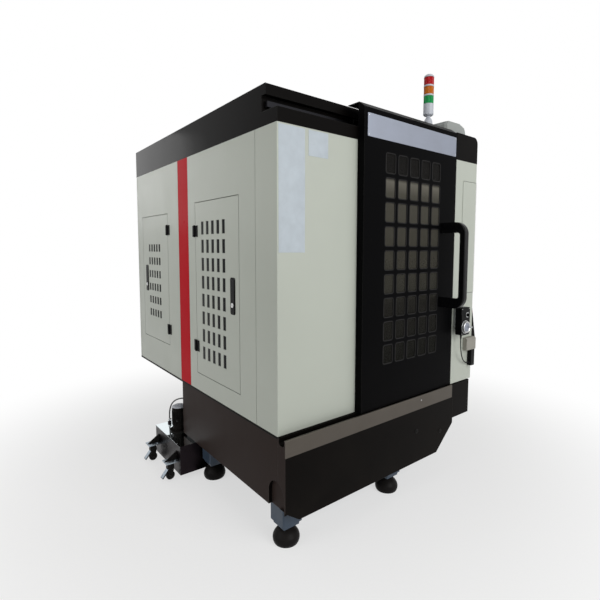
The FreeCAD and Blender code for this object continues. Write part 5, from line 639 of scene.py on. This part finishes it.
def outline(left, bottom, width, height, corner, grow):
    """Points of a rounded rectangle in X and Z, grown outwards."""
    radius = max(corner + grow, 0.5)
    points = []
    right, top = left + width - corner, bottom + height - corner
    for x, z, start in ((right, bottom + corner, 270), (right, top, 0), (left + corner, top, 90),
                        (left + corner, bottom + corner, 180)):
        for step in range(7):
            angle = math.radians(start + step * 15)
            points.append((x + radius * math.cos(angle), z + radius * math.sin(angle)))
    return points


def ring_of(mesh_data, shape, levels, put):
    """A band round a rounded rectangle: a loop for each (growth, lift), placed by put(across, up, lift)."""
    rings = []
    for grow, lift in levels:
        rings.append([mesh_data.verts.new(put(across, up, lift)) for across, up in outline(*shape, grow)])
    for inner, outer in zip(rings, rings[1:]):
        for step in range(len(inner)):
            after = (step + 1) % len(inner)
            mesh_data.faces.new([inner[step], inner[after], outer[after], outer[step]])


def corners(plate, margin=9.0):
    """The four places that lie a margin inside the corners of a plate's front."""
    return [(x, plate.front, z) for x in (plate.left + margin, plate.right - margin)
            for z in (plate.bottom + margin, plate.top - margin)]


def on_door(across, up, lift):
    """A place on a face that looks to the front, for ring_of."""
    return at(across, lift, up)


def on_console(across, z):
    """A frame in millimetres on the console's sloping front: X to the right, Y up the slope, Z out of it."""
    rise, back = CONSOLE.top - CONSOLE.bottom, CONSOLE.front_high - CONSOLE.front_low
    y = CONSOLE.front_low + (z - CONSOLE.bottom) / rise * back
    up, right = Vector((0, back, rise)).normalized(), Vector((1, 0, 0))
    turn = Matrix((right, up, right.cross(up))).transposed().to_4x4()
    return Matrix.Translation(at(CONSOLE.left + across, y, z)) @ turn @ Matrix.Scale(MM, 4)


# --- stage and camera ---

class MACHINE_OT_stage(bpy.types.Operator):
    """Make the camera, the lamps, the room light and the pale floor"""
    bl_idname = "machine.stage"
    bl_label = "Stage"

    def execute(self, context):
        scene, settings = context.scene, context.scene.machine_stage
        scene.camera = self.make_camera(settings)
        for name, place, size, power in LAMPS:
            self.make_lamp(name, place, size * MM, getattr(settings, power))
        scene.world = self.make_room(settings)
        self.make_floor(settings)
        scene.view_settings.view_transform = "Standard"
        return {"FINISHED"}

    def make_camera(self, settings):
        data = bpy.data.cameras.new("photo_camera")
        data.sensor_width = CAMERA.sensor
        data.lens = settings.lens
        data.shift_x, data.shift_y = CAMERA.shift
        data.clip_end = 100.0
        camera = new_object("photo_camera", data)
        yaw, pitch, roll = (math.radians(angle) for angle in CAMERA.turn)
        turn = Matrix.Rotation(-yaw, 4, "Z") @ Matrix.Rotation(math.pi / 2 + pitch, 4, "X")
        turn = turn @ Matrix.Rotation(roll, 4, "Z")
        camera.matrix_world = Matrix.Translation(at(*CAMERA.place)) @ turn
        return camera

    def make_lamp(self, name, place, size, power):
        data = bpy.data.lights.new(name, "AREA")
        data.shape = "SQUARE"
        data.size = size
        data.energy = power
        spot = at(*place)
        turn = (at(*LAMP_AIM) - spot).to_track_quat("-Z", "Y").to_matrix().to_4x4()
        new_object(name, data).matrix_world = Matrix.Translation(spot) @ turn

    def make_room(self, settings):
        """Even light for surfaces, plain white for what the camera, gloss and glass see."""
        world = bpy.data.worlds.new("studio_room")
        world.use_nodes = True
        tree = world.node_tree
        tree.nodes.clear()
        level = add_node(tree, "MapRange", {0: seen_directly(tree), 3: settings.world_level, 4: 1.0})
        light = add_node(tree, "Background", {"Color": PLAIN_WHITE, "Strength": level.outputs[0]})
        add_node(tree, "OutputWorld", {"Surface": light.outputs[0]})
        return world

    def make_floor(self, settings):
        disc = bmesh.new()
        profile = [(settings.floor_radius / MM, 0.0), (FLOOR_RING, 0.0), (0, 0)]
        lathe(disc, profile, towards(STAGE_MIDDLE, UP), 64)
        floor = new_object("studio_floor", new_mesh("studio_floor", disc, [self.floor_finish(settings)]))

    def floor_finish(self, settings):
        """Matt painted floor that keeps the object's shadow near it and is plain white further off."""
        made = Finish("matt_painted_floor")
        tone = made.mix(made.noise(0.01, 3.0), opaque("#F4F4F3"), opaque("#FCFCFB"))
        paint = made.surface({"Roughness": 0.9, "Specular IOR Level": 0.1, "Base Color": tone})
        shift = made.out("VectorMath", {"operation": "SUBTRACT", 0: made.place, 1: at(*STAGE_MIDDLE)})
        reach = made.out("VectorMath", {"operation": "LENGTH", 0: shift}, "Value")
        radius = settings.shadow_radius
        fade = made.out("MapRange", {0: reach, 1: radius * 0.75, 2: radius * 1.9,
                                     "interpolation_type": "SMOOTHSTEP"})
        lift = made.between(fade, settings.floor_lift, 1.0, 0.0, 1.0)
        share = made.math("MULTIPLY", seen_directly(made.tree), lift)
        white = made.out("Emission", {"Color": PLAIN_WHITE, "Strength": 1.0})
        return made.close(made.out("MixShader", {0: share, 1: paint, 2: white}))


# --- cords ---

def smooth_line(name, route, diameter, surface):
    """A line of even thickness along a smooth curve through its route."""
    data = bpy.data.curves.new(name, "CURVE")
    data.dimensions = "3D"
    data.bevel_depth = diameter * MM / 2
    data.bevel_resolution = 5
    data.resolution_u = 10
    data.use_fill_caps = True
    spline = data.splines.new("NURBS")
    spline.points.add(len(route) - 1)
    for point, place in zip(spline.points, route):
        point.co = (*at(*place), 1.0)
    spline.order_u = 3
    spline.use_endpoint_u = True
    data.materials.append(finish(surface))
    line = new_object(name, data)
    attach(line, ROOT)
    return line


class MACHINE_OT_cords(bpy.types.Operator):
    """Lay the pendant's cord and the coolant hose with their sleeves, gland and clamp"""
    bl_idname = "machine.cords"
    bl_label = "Cord and hose"

    def execute(self, context):
        self.lay_cord(context.scene.machine_fittings.relief_length / MM)
        self.lay_hose()
        return {"FINISHED"}

    def lay_cord(self, long):
        """The pendant's cord, with a tapered sleeve of that length and a hexagon gland."""
        cord = smooth_line("pendant_cord_line", CORD_ROUTE, CORD_DIAMETER, "extruded_cable_jacket")
        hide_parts("pendant_cord")
        radius = CORD_DIAMETER / 2
        sleeve = bmesh.new()
        profile = [(radius, 0.0), (radius + 4.0, 0.0), (radius + 4.0, 4.0)]
        for step in range(6):
            z = 5.0 + step * (long - 7.0) / 6
            taper = radius + 3.4 - 2.8 * step / 6
            profile += [(taper, z), (taper, z + 2.2), (taper - 0.7, z + 2.6), (taper - 0.7, z + 3.4)]
        profile += [(radius + 0.4, long), (radius, long)]
        lathe(sleeve, profile, towards(CORD_ROUTE[0], DOWN), 24)
        relief = piece("pendant_cord_relief", sleeve, ["moulded_black_rubber"], ROOT)
        nut = bmesh.new()
        lathe(nut, [(radius, 0.0), (7.5, 0.0, 6), (7.5, 6.0, 6), (6.2, 6.5), (6.2, 9.0), (4.6, 13.0),
                    (radius, 14.0)], towards(CORD_ROUTE[-1], LEFT), 24)
        gland = piece("pendant_cord_gland", nut, ["moulded_black_nylon"], ROOT)

    def lay_hose(self):
        """The coolant hose, with a screwed clamp on the tank and a grommet in the machine's side."""
        hose = smooth_line("coolant_hose_line", HOSE_ROUTE, HOSE_DIAMETER, "extruded_smoked_hose")
        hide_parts("coolant_hose")
        band = bmesh.new()
        radius = HOSE_DIAMETER / 2
        x, y, z = HOSE_ROUTE[0]
        foot = towards((x, y, z), UP)
        lathe(band, [(radius, 4.0), (radius + 0.8, 4.0), (radius + 0.8, 12.0), (radius, 12.0)], foot, 32)
        block(band, (-10.5, -3.5, 3.6), (-radius - 0.2, 3.5, 12.4), 0.6, foot)
        button_screw(band, (x - 7.6, y - 3.5, z + 8), FRONT, 2.8)
        clamp = piece("hose_clamp", band, ["satin_chromed_zinc"], ROOT)
        ring = bmesh.new()
        lathe(ring, [(radius, 0.0), (radius + 6.5, 0.0), (radius + 6.5, 2.0), (radius + 5.0, 3.5),
                     (radius + 2.0, 4.5), (radius + 0.6, 9.0), (radius, 9.5)],
              towards(HOSE_ROUTE[-1], BACK), 32)
        grommet = piece("hose_grommet", ring, ["moulded_black_rubber"], ROOT)


# --- finishes ---

class MACHINE_OT_finishes(bpy.types.Operator):
    """Give every solid of the frame its finish"""
    bl_idname = "machine.finishes"
    bl_label = "Finishes"

    def execute(self, context):
        named = {node: name for name, row in FINISHES.items() for node in row[0].split()}
        missing = sorted(set(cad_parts) - set(named))
        if missing:
            raise ValueError(f"these solids have no finish: {missing}")
        for node, name in named.items():
            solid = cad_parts[node]
            if not solid.material_slots:
                solid.data.materials.append(finish(name))
            for place in solid.material_slots:
                place.material = finish(name)
        return {"FINISHED"}


# --- door, base and signal tower ---

class MACHINE_OT_door_fittings(bpy.types.Operator):
    """Press the rubber seals round the windows and rivet the nameplate on"""
    bl_idname = "machine.door_fittings"
    bl_label = "Door fittings"

    def execute(self, context):
        sizes = context.scene.machine_fittings
        wide, lift = sizes.seal_width / MM, sizes.seal_lift / MM
        seals = bmesh.new()
        levels = [(-2.0, DOOR_FRONT + DOOR_SKIN), (-2.0, DOOR_FRONT - lift * 0.6), (-1.2, DOOR_FRONT - lift),
                  (wide * 0.7, DOOR_FRONT - lift), (wide, DOOR_FRONT - lift * 0.4), (wide, DOOR_FRONT)]
        for column in range(WINDOW.columns):
            for row in range(WINDOW.rows):
                left = WINDOW.left + column * WINDOW.pitch_x
                bottom = WINDOW.top - WINDOW.height - row * WINDOW.pitch_z
                shape = (left, bottom, WINDOW.width, WINDOW.height, WINDOW.corner)
                ring_of(seals, shape, levels, on_door)
        piece("window_seals", seals, ["moulded_black_rubber"], "door")
        rivets = bmesh.new()
        dome = [(0, -0.3), (3.2, -0.3), (3.0, 0.7), (2.0, 1.4), (0, 1.7)]
        for place in corners(PLATE):
            lathe(rivets, dome, towards(place, FRONT), 16)
        piece("nameplate_rivets", rivets, ["satin_chromed_zinc"], "door")
        return {"FINISHED"}


class MACHINE_OT_base_screws(bpy.types.Operator):
    """Set the bolts of the front skirt and the screw of the steel strip above it"""
    bl_idname = "machine.base_screws"
    bl_label = "Base screws"

    def execute(self, context):
        sizes = context.scene.machine_fittings
        bolts = bmesh.new()
        washer = 1.6
        for x, z in SKIRT_BOLTS:
            lathe(bolts, [(0, -0.2), (11.5, -0.2), (11.5, 1.2), (11.0, washer), (0, washer)],
                  towards((x, SILL_FRONT, z), FRONT), 32)
            button_screw(bolts, (x, SILL_FRONT - washer, z), FRONT, sizes.bolt_radius / MM)
        piece("skirt_bolts", bolts, ["black_passivated_zinc"], ROOT)
        screw = bmesh.new()
        x, z = STRIP_SCREW
        pan_screw(screw, (x, SILL_FRONT, z), FRONT, sizes.screw_radius / MM)
        piece("strip_screws", screw, ["satin_chromed_zinc"], ROOT)
        return {"FINISHED"}


class MACHINE_OT_tower_lenses(bpy.types.Operator):
    """Stack the ribbed green, amber and red lenses of the signal tower"""
    bl_idname = "machine.tower_lenses"
    bl_label = "Tower lenses"

    def execute(self, context):
        rib = context.scene.machine_fittings.rib_depth / MM
        tiers = ["dyed_acrylic_green", "dyed_acrylic_amber", "dyed_acrylic_red"]
        radius = TOWER.radius - 1.0
        neck, high = radius - 1.5, TOWER.lens
        stack, known = bmesh.new(), set()
        for index in range(len(tiers)):
            z = TOWER.lens_bottom + index * (high + TOWER.ring)
            place = towards((TOWER.x, TOWER.y, z), UP)
            lathe(stack, [(0, 0), (neck, 0), (neck, 1.5)], place, 96)
            ribbed = [(neck, 1.5), (radius, 3.0), (radius, high - 3.0), (neck, high - 1.5)]
            lathe(stack, ribbed, place, 96, rib)
            lathe(stack, [(neck, high - 1.5), (neck, high), (0, high)], place, 96)
            known = mark(stack, index, known)
        lenses = piece("tower_lens_stack", stack, tiers, ROOT, 20.0)
        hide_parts("tower_lenses")
        return {"FINISHED"}


# --- vent doors ---

class MACHINE_OT_vent_fittings(bpy.types.Operator):
    """Screw the black hinge leaves on, frame the latches and lay the filter mats behind the slots"""
    bl_idname = "machine.vent_fittings"
    bl_label = "Vent door fittings"

    def execute(self, context):
        for vent in (FRONT_VENT, REAR_VENT):
            self.make_leaves(vent)
            self.make_latch_trim(vent)
            self.make_mat(vent, context.scene.machine_fittings.mat_thickness / MM)
        return {"FINISHED"}

    def make_leaves(self, vent):
        """A black cover on each door leaf, pan-head screws on both leaves, and the pins' domed ends."""
        leaves, fixed = bmesh.new(), bmesh.new()
        front = -HINGE.sheet
        hinge, inward, barrel = vent.hinge_y, vent.inward, HINGE.barrel
        near = hinge + inward * (barrel + 0.6)
        far = hinge + inward * (barrel + HINGE.leaf + 0.4)
        for z in vent.hinge_z:
            half = HINGE.height / 2 + 0.4
            block(leaves, (front - 0.5, min(near, far), z - half), (0.2, max(near, far), z + half), 0.8)
            for side in (-HINGE.screws, HINGE.screws):
                pan_screw(leaves, (front - 0.5, (near + far) / 2 + 3 * inward, z + side), LEFT, 4.2)
                back = hinge - inward * (barrel + HINGE.leaf / 2 + 2)
                pan_screw(fixed, (front, back, z + side), LEFT, 4.2)
            for end in (-1, 1):
                lathe(fixed, [(0, 0), (4.5, 0), (4.5, 1.2), (3.4, 2.2), (0, 2.4)],
                      towards((-barrel, hinge, z + end * HINGE.height / 2), (0, 0, end)), 20)
        piece(vent.name + "_hinge_leaves", leaves, ["black_passivated_zinc"], vent.name)
        piece(vent.name + "_hinge_screws", fixed, ["black_passivated_zinc"], ROOT)

    def make_latch_trim(self, vent):
        """The moulded frame round the lever, and the lock in the lever's lower end."""
        y, z = vent.latch
        trim = bmesh.new()
        shape = (y, z, LATCH.width, LATCH.length, 5.0)
        levels = [(0.8, 1.5), (0.8, -1.4), (1.6, -2.0), (5.6, -2.0), (6.4, -1.2), (6.4, 0.2)]
        ring_of(trim, shape, levels, lambda across, up, lift: at(lift, across, up))
        piece(vent.name + "_latch_frame", trim, ["moulded_black_nylon"], vent.name)
        lock = bmesh.new()
        spot = towards((LATCH.front, y + LATCH.width / 2, z + LATCH.lock), LEFT)
        lathe(lock, [(0, -0.2), (12.0, -0.2), (12.0, 1.8), (11.0, 2.6), (8.6, 2.6), (8.2, 1.9), (0, 1.9)],
              spot, 36)
        known = mark(lock, 0)
        block(lock, (-1.1, -5.0, 1.7), (1.1, 5.0, 2.1), 0.0, spot)
        mark(lock, 1, known)
        piece(vent.name + "_latch_lock", lock, ["satin_chromed_zinc", "moulded_black_rubber"],
              vent.latch_body)

    def make_mat(self, vent, thickness):
        """Dark felt behind the slots, pressed against the sheet."""
        mat = bmesh.new()
        y = vent.y + vent.slot_y - MAT_BORDER
        z = vent.z + vent.slot_z - MAT_BORDER
        width = (vent.columns - 1) * vent.pitch_y + vent.slot_width + 2 * MAT_BORDER
        height = (vent.rows - 1) * vent.pitch_z + vent.slot_height + 2 * MAT_BORDER
        block(mat, (MAT_FRONT, y, z), (MAT_FRONT + thickness, y + width, z + height), 1.0)
        piece(vent.name + "_filter_mat", mat, ["needled_filter_felt"], vent.name)


# --- front and back panels ---

class MACHINE_OT_panel_fittings(bpy.types.Operator):
    """Lay the bare sheets on the left front panel and fix the panels of the right side and the back"""
    bl_idname = "machine.panel_fittings"
    bl_label = "Panel fittings"

    def execute(self, context):
        sheets = bmesh.new()
        for low, high, edge in BLANK_SHEETS:
            block(sheets, low, high, edge)
        piece("blank_front_sheets", sheets, ["matt_vinyl_film"], ROOT)
        gasket = bmesh.new()
        shape = (COVER.left, COVER.bottom, COVER.width, COVER.height, COVER.corner)
        levels = [(0.2, COVER.front + 1.2), (1.0, DOOR_FRONT - 1.0), (2.4, DOOR_FRONT - 0.6),
                  (2.6, DOOR_FRONT + 0.2)]
        ring_of(gasket, shape, levels, on_door)
        piece("cover_gasket", gasket, ["moulded_black_rubber"], ROOT)
        radius = context.scene.machine_fittings.screw_radius / MM
        screws = bmesh.new()
        high = BAND - CABINET_BOTTOM - 2 * PANEL.end
        heights = [CABINET_BOTTOM + PANEL.end + step * high / (PANEL.screws - 1)
                   for step in range(PANEL.screws)]
        for y in (CORNER_FLANGE, STRIPE.front - PANEL.stripe, STRIPE.back + PANEL.stripe, DEPTH - PANEL.rear):
            for z in heights:
                button_screw(screws, (WIDTH, y, z), RIGHT, radius)
        for z in heights:
            for x in (PANEL.side, WIDTH - PANEL.side):
                button_screw(screws, (x, DEPTH, z), BACK, radius)
        piece("panel_screws", screws, ["black_passivated_zinc"], ROOT)
        return {"FINISHED"}


# --- console and pendant ---

class MACHINE_OT_console_fittings(bpy.types.Operator):
    """Cap the console's keys, frame its screen and set the collars of its buttons"""
    bl_idname = "machine.console_fittings"
    bl_label = "Console fittings"

    def execute(self, context):
        self.make_keycaps()
        bezel = bmesh.new()
        spot = on_console(0, SCREEN.bottom)
        shape = (SCREEN.left, 0.0, SCREEN.width, SCREEN.height * SCREEN.slope, 3.0)
        levels = [(-0.6, -2.0), (-0.6, 1.2), (0.4, 2.0), (9.0, 2.0), (10.0, 1.2), (10.0, -0.3)]
        ring_of(bezel, shape, levels, lambda across, up, lift: spot @ Vector((across, up, lift)))
        piece("console_screen_bezel", bezel, ["moulded_black_nylon"], ROOT)
        self.make_collars()
        return {"FINISHED"}

    def make_keycaps(self):
        """A grey cap on each key, and a blue one in the last columns and the top row."""
        caps, known = bmesh.new(), set()
        margin = 1.2
        low = (margin, margin, KEYS.rise - 0.4)
        high = (KEYS.width - margin, KEYS.height - margin, KEYS.rise + 1.6)
        for blue in (0, 1):
            for column in range(KEYS.columns):
                for row in range(KEYS.rows):
                    if blue == int(column >= KEYS.blue_column or row == KEYS.blue_row):
                        across = KEYS.left + column * KEYS.pitch_x
                        z = KEYS.bottom + row * KEYS.pitch_z
                        block(caps, low, high, 1.0, on_console(across, z))
            known = mark(caps, blue, known)
        piece("console_keycaps", caps, ["moulded_grey_keycap", "moulded_blue_keycap"], ROOT)

    def make_collars(self):
        """The stop and start buttons' collars, the knob's scale and the corner screws."""
        collars = bmesh.new()
        lathe(collars, [(22.0, -0.3), (30.0, -0.3), (30.0, 1.4), (29.0, 2.2), (12.0, 2.2), (12.0, -0.3)],
              on_console(*STOP_PLACE), 48)
        known = mark(collars, 0)
        lathe(collars, [(10.0, -0.3), (18.5, -0.3), (18.5, 1.8), (17.5, 2.6), (15.0, 2.6), (15.0, 0.4),
                        (10.0, 0.4)], on_console(*START_PLACE), 48)
        knob = on_console(*KNOB_PLACE)
        for step in range(13):
            long = 29.0 if step % 3 == 0 else 26.5
            block(collars, (23.0, -0.6, -0.2), (long, 0.6, 0.4), 0.0, turned(knob, 225 - step * 22.5))
        for across in (CONSOLE.screw_side, CONSOLE.width - CONSOLE.screw_side):
            for z in (CONSOLE.bottom + CONSOLE.screw_end, CONSOLE.top - CONSOLE.screw_end):
                lathe(collars, [(0, -0.2), (5.0, -0.2), (5.0, 1.2), (4.0, 2.6), (2.4, 3.0), (2.2, 3.0, 6),
                                (2.0, 1.2, 6), (0, 1.2)], on_console(across, z), 24)
        mark(collars, 1, known)
        piece("console_collars", collars, ["moulded_yellow_collar", "satin_chromed_zinc"], ROOT)


class MACHINE_OT_pendant_fittings(bpy.types.Operator):
    """Face the pulse wheel, cut its scale and fit the pendant's dial ring and screws"""
    bl_idname = "machine.pendant_fittings"
    bl_label = "Pendant fittings"

    def execute(self, context):
        front, level = PENDANT.front, WHEEL.face
        hub = towards((WHEEL.x, front, WHEEL.z), FRONT)
        face = bmesh.new()
        lathe(face, [(0, level - 0.2), (25.6, level - 0.2), (25.6, level + 0.5), (24.8, level + 0.9),
                     (0, level + 0.9)], hub, 64)
        known = mark(face, 0)
        for step in range(WHEEL.marks):
            start = 20.0 if step % 5 == 0 else 22.0
            block(face, (start, -0.25, level + 0.8), (24.4, 0.25, level + 1.0), 0.0,
                  turned(hub, 360 * step / WHEEL.marks))
        mark(face, 1, known)
        piece("pulse_wheel_face", face, ["anodised_aluminium_plate", "moulded_black_rubber"], "pulse_wheel")
        rings = bmesh.new()
        lathe(rings, [(35.0, -0.2), (38.6, -0.2), (38.6, 0.8), (38.0, 1.2), (35.0, 1.2)], hub, 64)
        dial, inner = towards((DIAL.x, front, DIAL.z), FRONT), DIAL.radius + 1.0
        lathe(rings, [(inner, -0.2), (15.0, -0.2), (15.0, 0.6), (14.4, 1.0), (inner, 1.0)], dial, 40)
        for step in range(5):
            block(rings, (16.0, -0.5, -0.1), (18.5, 0.5, 0.3), 0.0, turned(dial, 30 + 30 * step))
        for place in corners(PENDANT):
            pan_screw(rings, place, FRONT, 2.6)
        piece("pendant_trim", rings, ["satin_chromed_zinc"], ROOT)
        return {"FINISHED"}


# --- coolant unit and feet ---

class MACHINE_OT_pump_fittings(bpy.types.Operator):
    """Put the pale lid, the cooling ribs and the terminal box on the coolant pump"""
    bl_idname = "machine.pump_fittings"
    bl_label = "Pump fittings"

    def execute(self, context):
        lid, ribs = bmesh.new(), bmesh.new()
        radius = PUMP.radius
        spot = towards((PUMP.x, PUMP.y, PUMP.top), UP)
        lathe(lid, [(radius + 1.6, -5.8), (radius + 2.4, -5.8), (radius + 2.4, -4.8), (radius - 5.6, 0.6),
                    (30.0, 0.8), (28.0, 2.0), (9.0, 2.4), (7.0, 1.2), (0, 1.2)], spot, 48)
        for step in range(12):
            block(lid, (12.0, -1.0, 1.9), (26.0, 1.0, 2.8), 0.2, turned(spot, 30 * step))
        piece("pump_lid", lid, ["moulded_white_abs"], ROOT)
        for step in range(28):
            block(ribs, (radius - 1.0, -1.1, -118.0), (radius + 3.2, 1.1, -32.0), 0.5,
                  turned(spot, 360 * step / 28))
        block(ribs, (-24.0, -radius - 26.0, -104.0), (24.0, -radius + 3.0, -46.0), 3.0, spot)
        lathe(ribs, [(0, 0), (8.5, 0, 6), (8.5, 7, 6), (6.5, 8), (6.5, 14), (0, 15)],
              towards((PUMP.x - 24, PUMP.y - radius - 14, PUMP.top - 76), LEFT), 24)
        piece("pump_ribs_and_box", ribs, ["powder_coated_black_sheet"], ROOT)
        return {"FINISHED"}


class MACHINE_OT_caster_fittings(bpy.types.Operator):
    """Plate the tank's caster brackets and pedals in zinc and put the axle nuts on"""
    bl_idname = "machine.caster_fittings"
    bl_label = "Caster fittings"

    def execute(self, context):
        plates, nuts = bmesh.new(), bmesh.new()
        for face, out in CASTER.faces:
            for y in CASTER.y:
                self.dress(plates, nuts, face, out, y)
        piece("caster_plates", plates, ["bright_zinc_plate"], ROOT)
        piece("caster_nuts", nuts, ["black_passivated_zinc"], ROOT)
        return {"FINISHED"}

    def dress(self, plates, nuts, face, out, y):
        """One caster: its plate with two screws, its pedal with ribs, and its axle's nuts."""
        x, half, low = face + out * CASTER.out, CASTER.plate_half + 0.3, CASTER.plate_bottom
        top = low + CASTER.plate_rise
        near, far = sorted((face + out, x + out * half))
        block(plates, (near, y - half, low - 0.3), (far, y + half, top), 0.6)
        for across in (-22, 22):
            button_screw(plates, (face + out * 18, y + across, top), UP, 5.0)
        turn = Matrix.Rotation(out * math.radians(CASTER.pedal_angle), 4, "Y")
        spot = Matrix.Translation(at(x, y, low - CASTER.pedal_drop)) @ turn @ Matrix.Scale(MM, 4)
        near, far = sorted((out * 22.0, out * 76.0))
        block(plates, (near, -14.6, 5.4), (far, 14.6, 6.8), 0.5, spot)
        for rib in (34.0, 44.0, 54.0, 64.0):
            near, far = sorted((out * rib, out * (rib + 4.0)))
            block(plates, (near, -12.0, 6.6), (far, 12.0, 7.6), 0.4, spot)
        for side in (-1, 1):
            lathe(nuts, [(0, -0.3), (9.0, -0.3), (9.0, 1.2), (7.5, 1.2, 6), (7.5, 5.6, 6), (6.4, 6.4),
                         (4.0, 6.4), (4.0, 8.4), (3.0, 9.2), (0, 9.2)],
                  towards((x, y + side * 14.0, FLOOR + CASTER.wheel), (0, side, 0)), 24)


class MACHINE_OT_foot_fittings(bpy.types.Operator):
    """Put bright jam nuts and washers under the brackets of the levelling feet"""
    bl_idname = "machine.foot_fittings"
    bl_label = "Foot fittings"

    def execute(self, context):
        nuts = bmesh.new()
        for x, y in FEET:
            lathe(nuts, [(12.4, -14.6), (24.0, -14.6), (24.0, -12.2), (21.2, -12.0, 6), (21.2, -1.0, 6),
                         (12.4, -1.0)], towards((x, y, EAR_BOTTOM), UP), 36)
        piece("foot_nuts", nuts, ["bright_zinc_plate"], ROOT)
        return {"FINISHED"}


# --- panel and registration ---

SETTINGS = {"machine_stage": StageSettings, "machine_paints": PaintSettings,
            "machine_fittings": FittingSettings}
OPERATORS = [MACHINE_OT_stage, MACHINE_OT_cords, MACHINE_OT_finishes, MACHINE_OT_door_fittings,
             MACHINE_OT_base_screws, MACHINE_OT_tower_lenses, MACHINE_OT_vent_fittings,
             MACHINE_OT_panel_fittings, MACHINE_OT_console_fittings, MACHINE_OT_pendant_fittings,
             MACHINE_OT_pump_fittings, MACHINE_OT_caster_fittings, MACHINE_OT_foot_fittings]


class MACHINE_PT_looks(bpy.types.Panel):
    """The machine's settings and the pieces that they make"""
    bl_idname = "MACHINE_PT_looks"
    bl_label = "Machining Centre"
    bl_space_type = "VIEW_3D"
    bl_region_type = "UI"
    bl_category = "Machine"

    def draw(self, context):
        for group, settings in SETTINGS.items():
            box = self.layout.box()
            for name in settings.__annotations__:
                box.prop(getattr(context.scene, group), name)
        for operator in OPERATORS:
            self.layout.operator(operator.bl_idname)


CLASSES = [*SETTINGS.values(), *OPERATORS, MACHINE_PT_looks]


def register():
    for one in CLASSES:
        bpy.utils.register_class(one)
    for name, settings in SETTINGS.items():
        setattr(bpy.types.Scene, name, bpy.props.PointerProperty(type=settings))


def unregister():
    for name in reversed(SETTINGS):
        delattr(bpy.types.Scene, name)
    for one in reversed(CLASSES):
        bpy.utils.unregister_class(one)


def main():
    """Makes everything in order."""
    register()
    for operator in OPERATORS:
        getattr(bpy.ops.machine, operator.bl_idname.split(".")[1])()


if __name__ == "__main__":
    main()
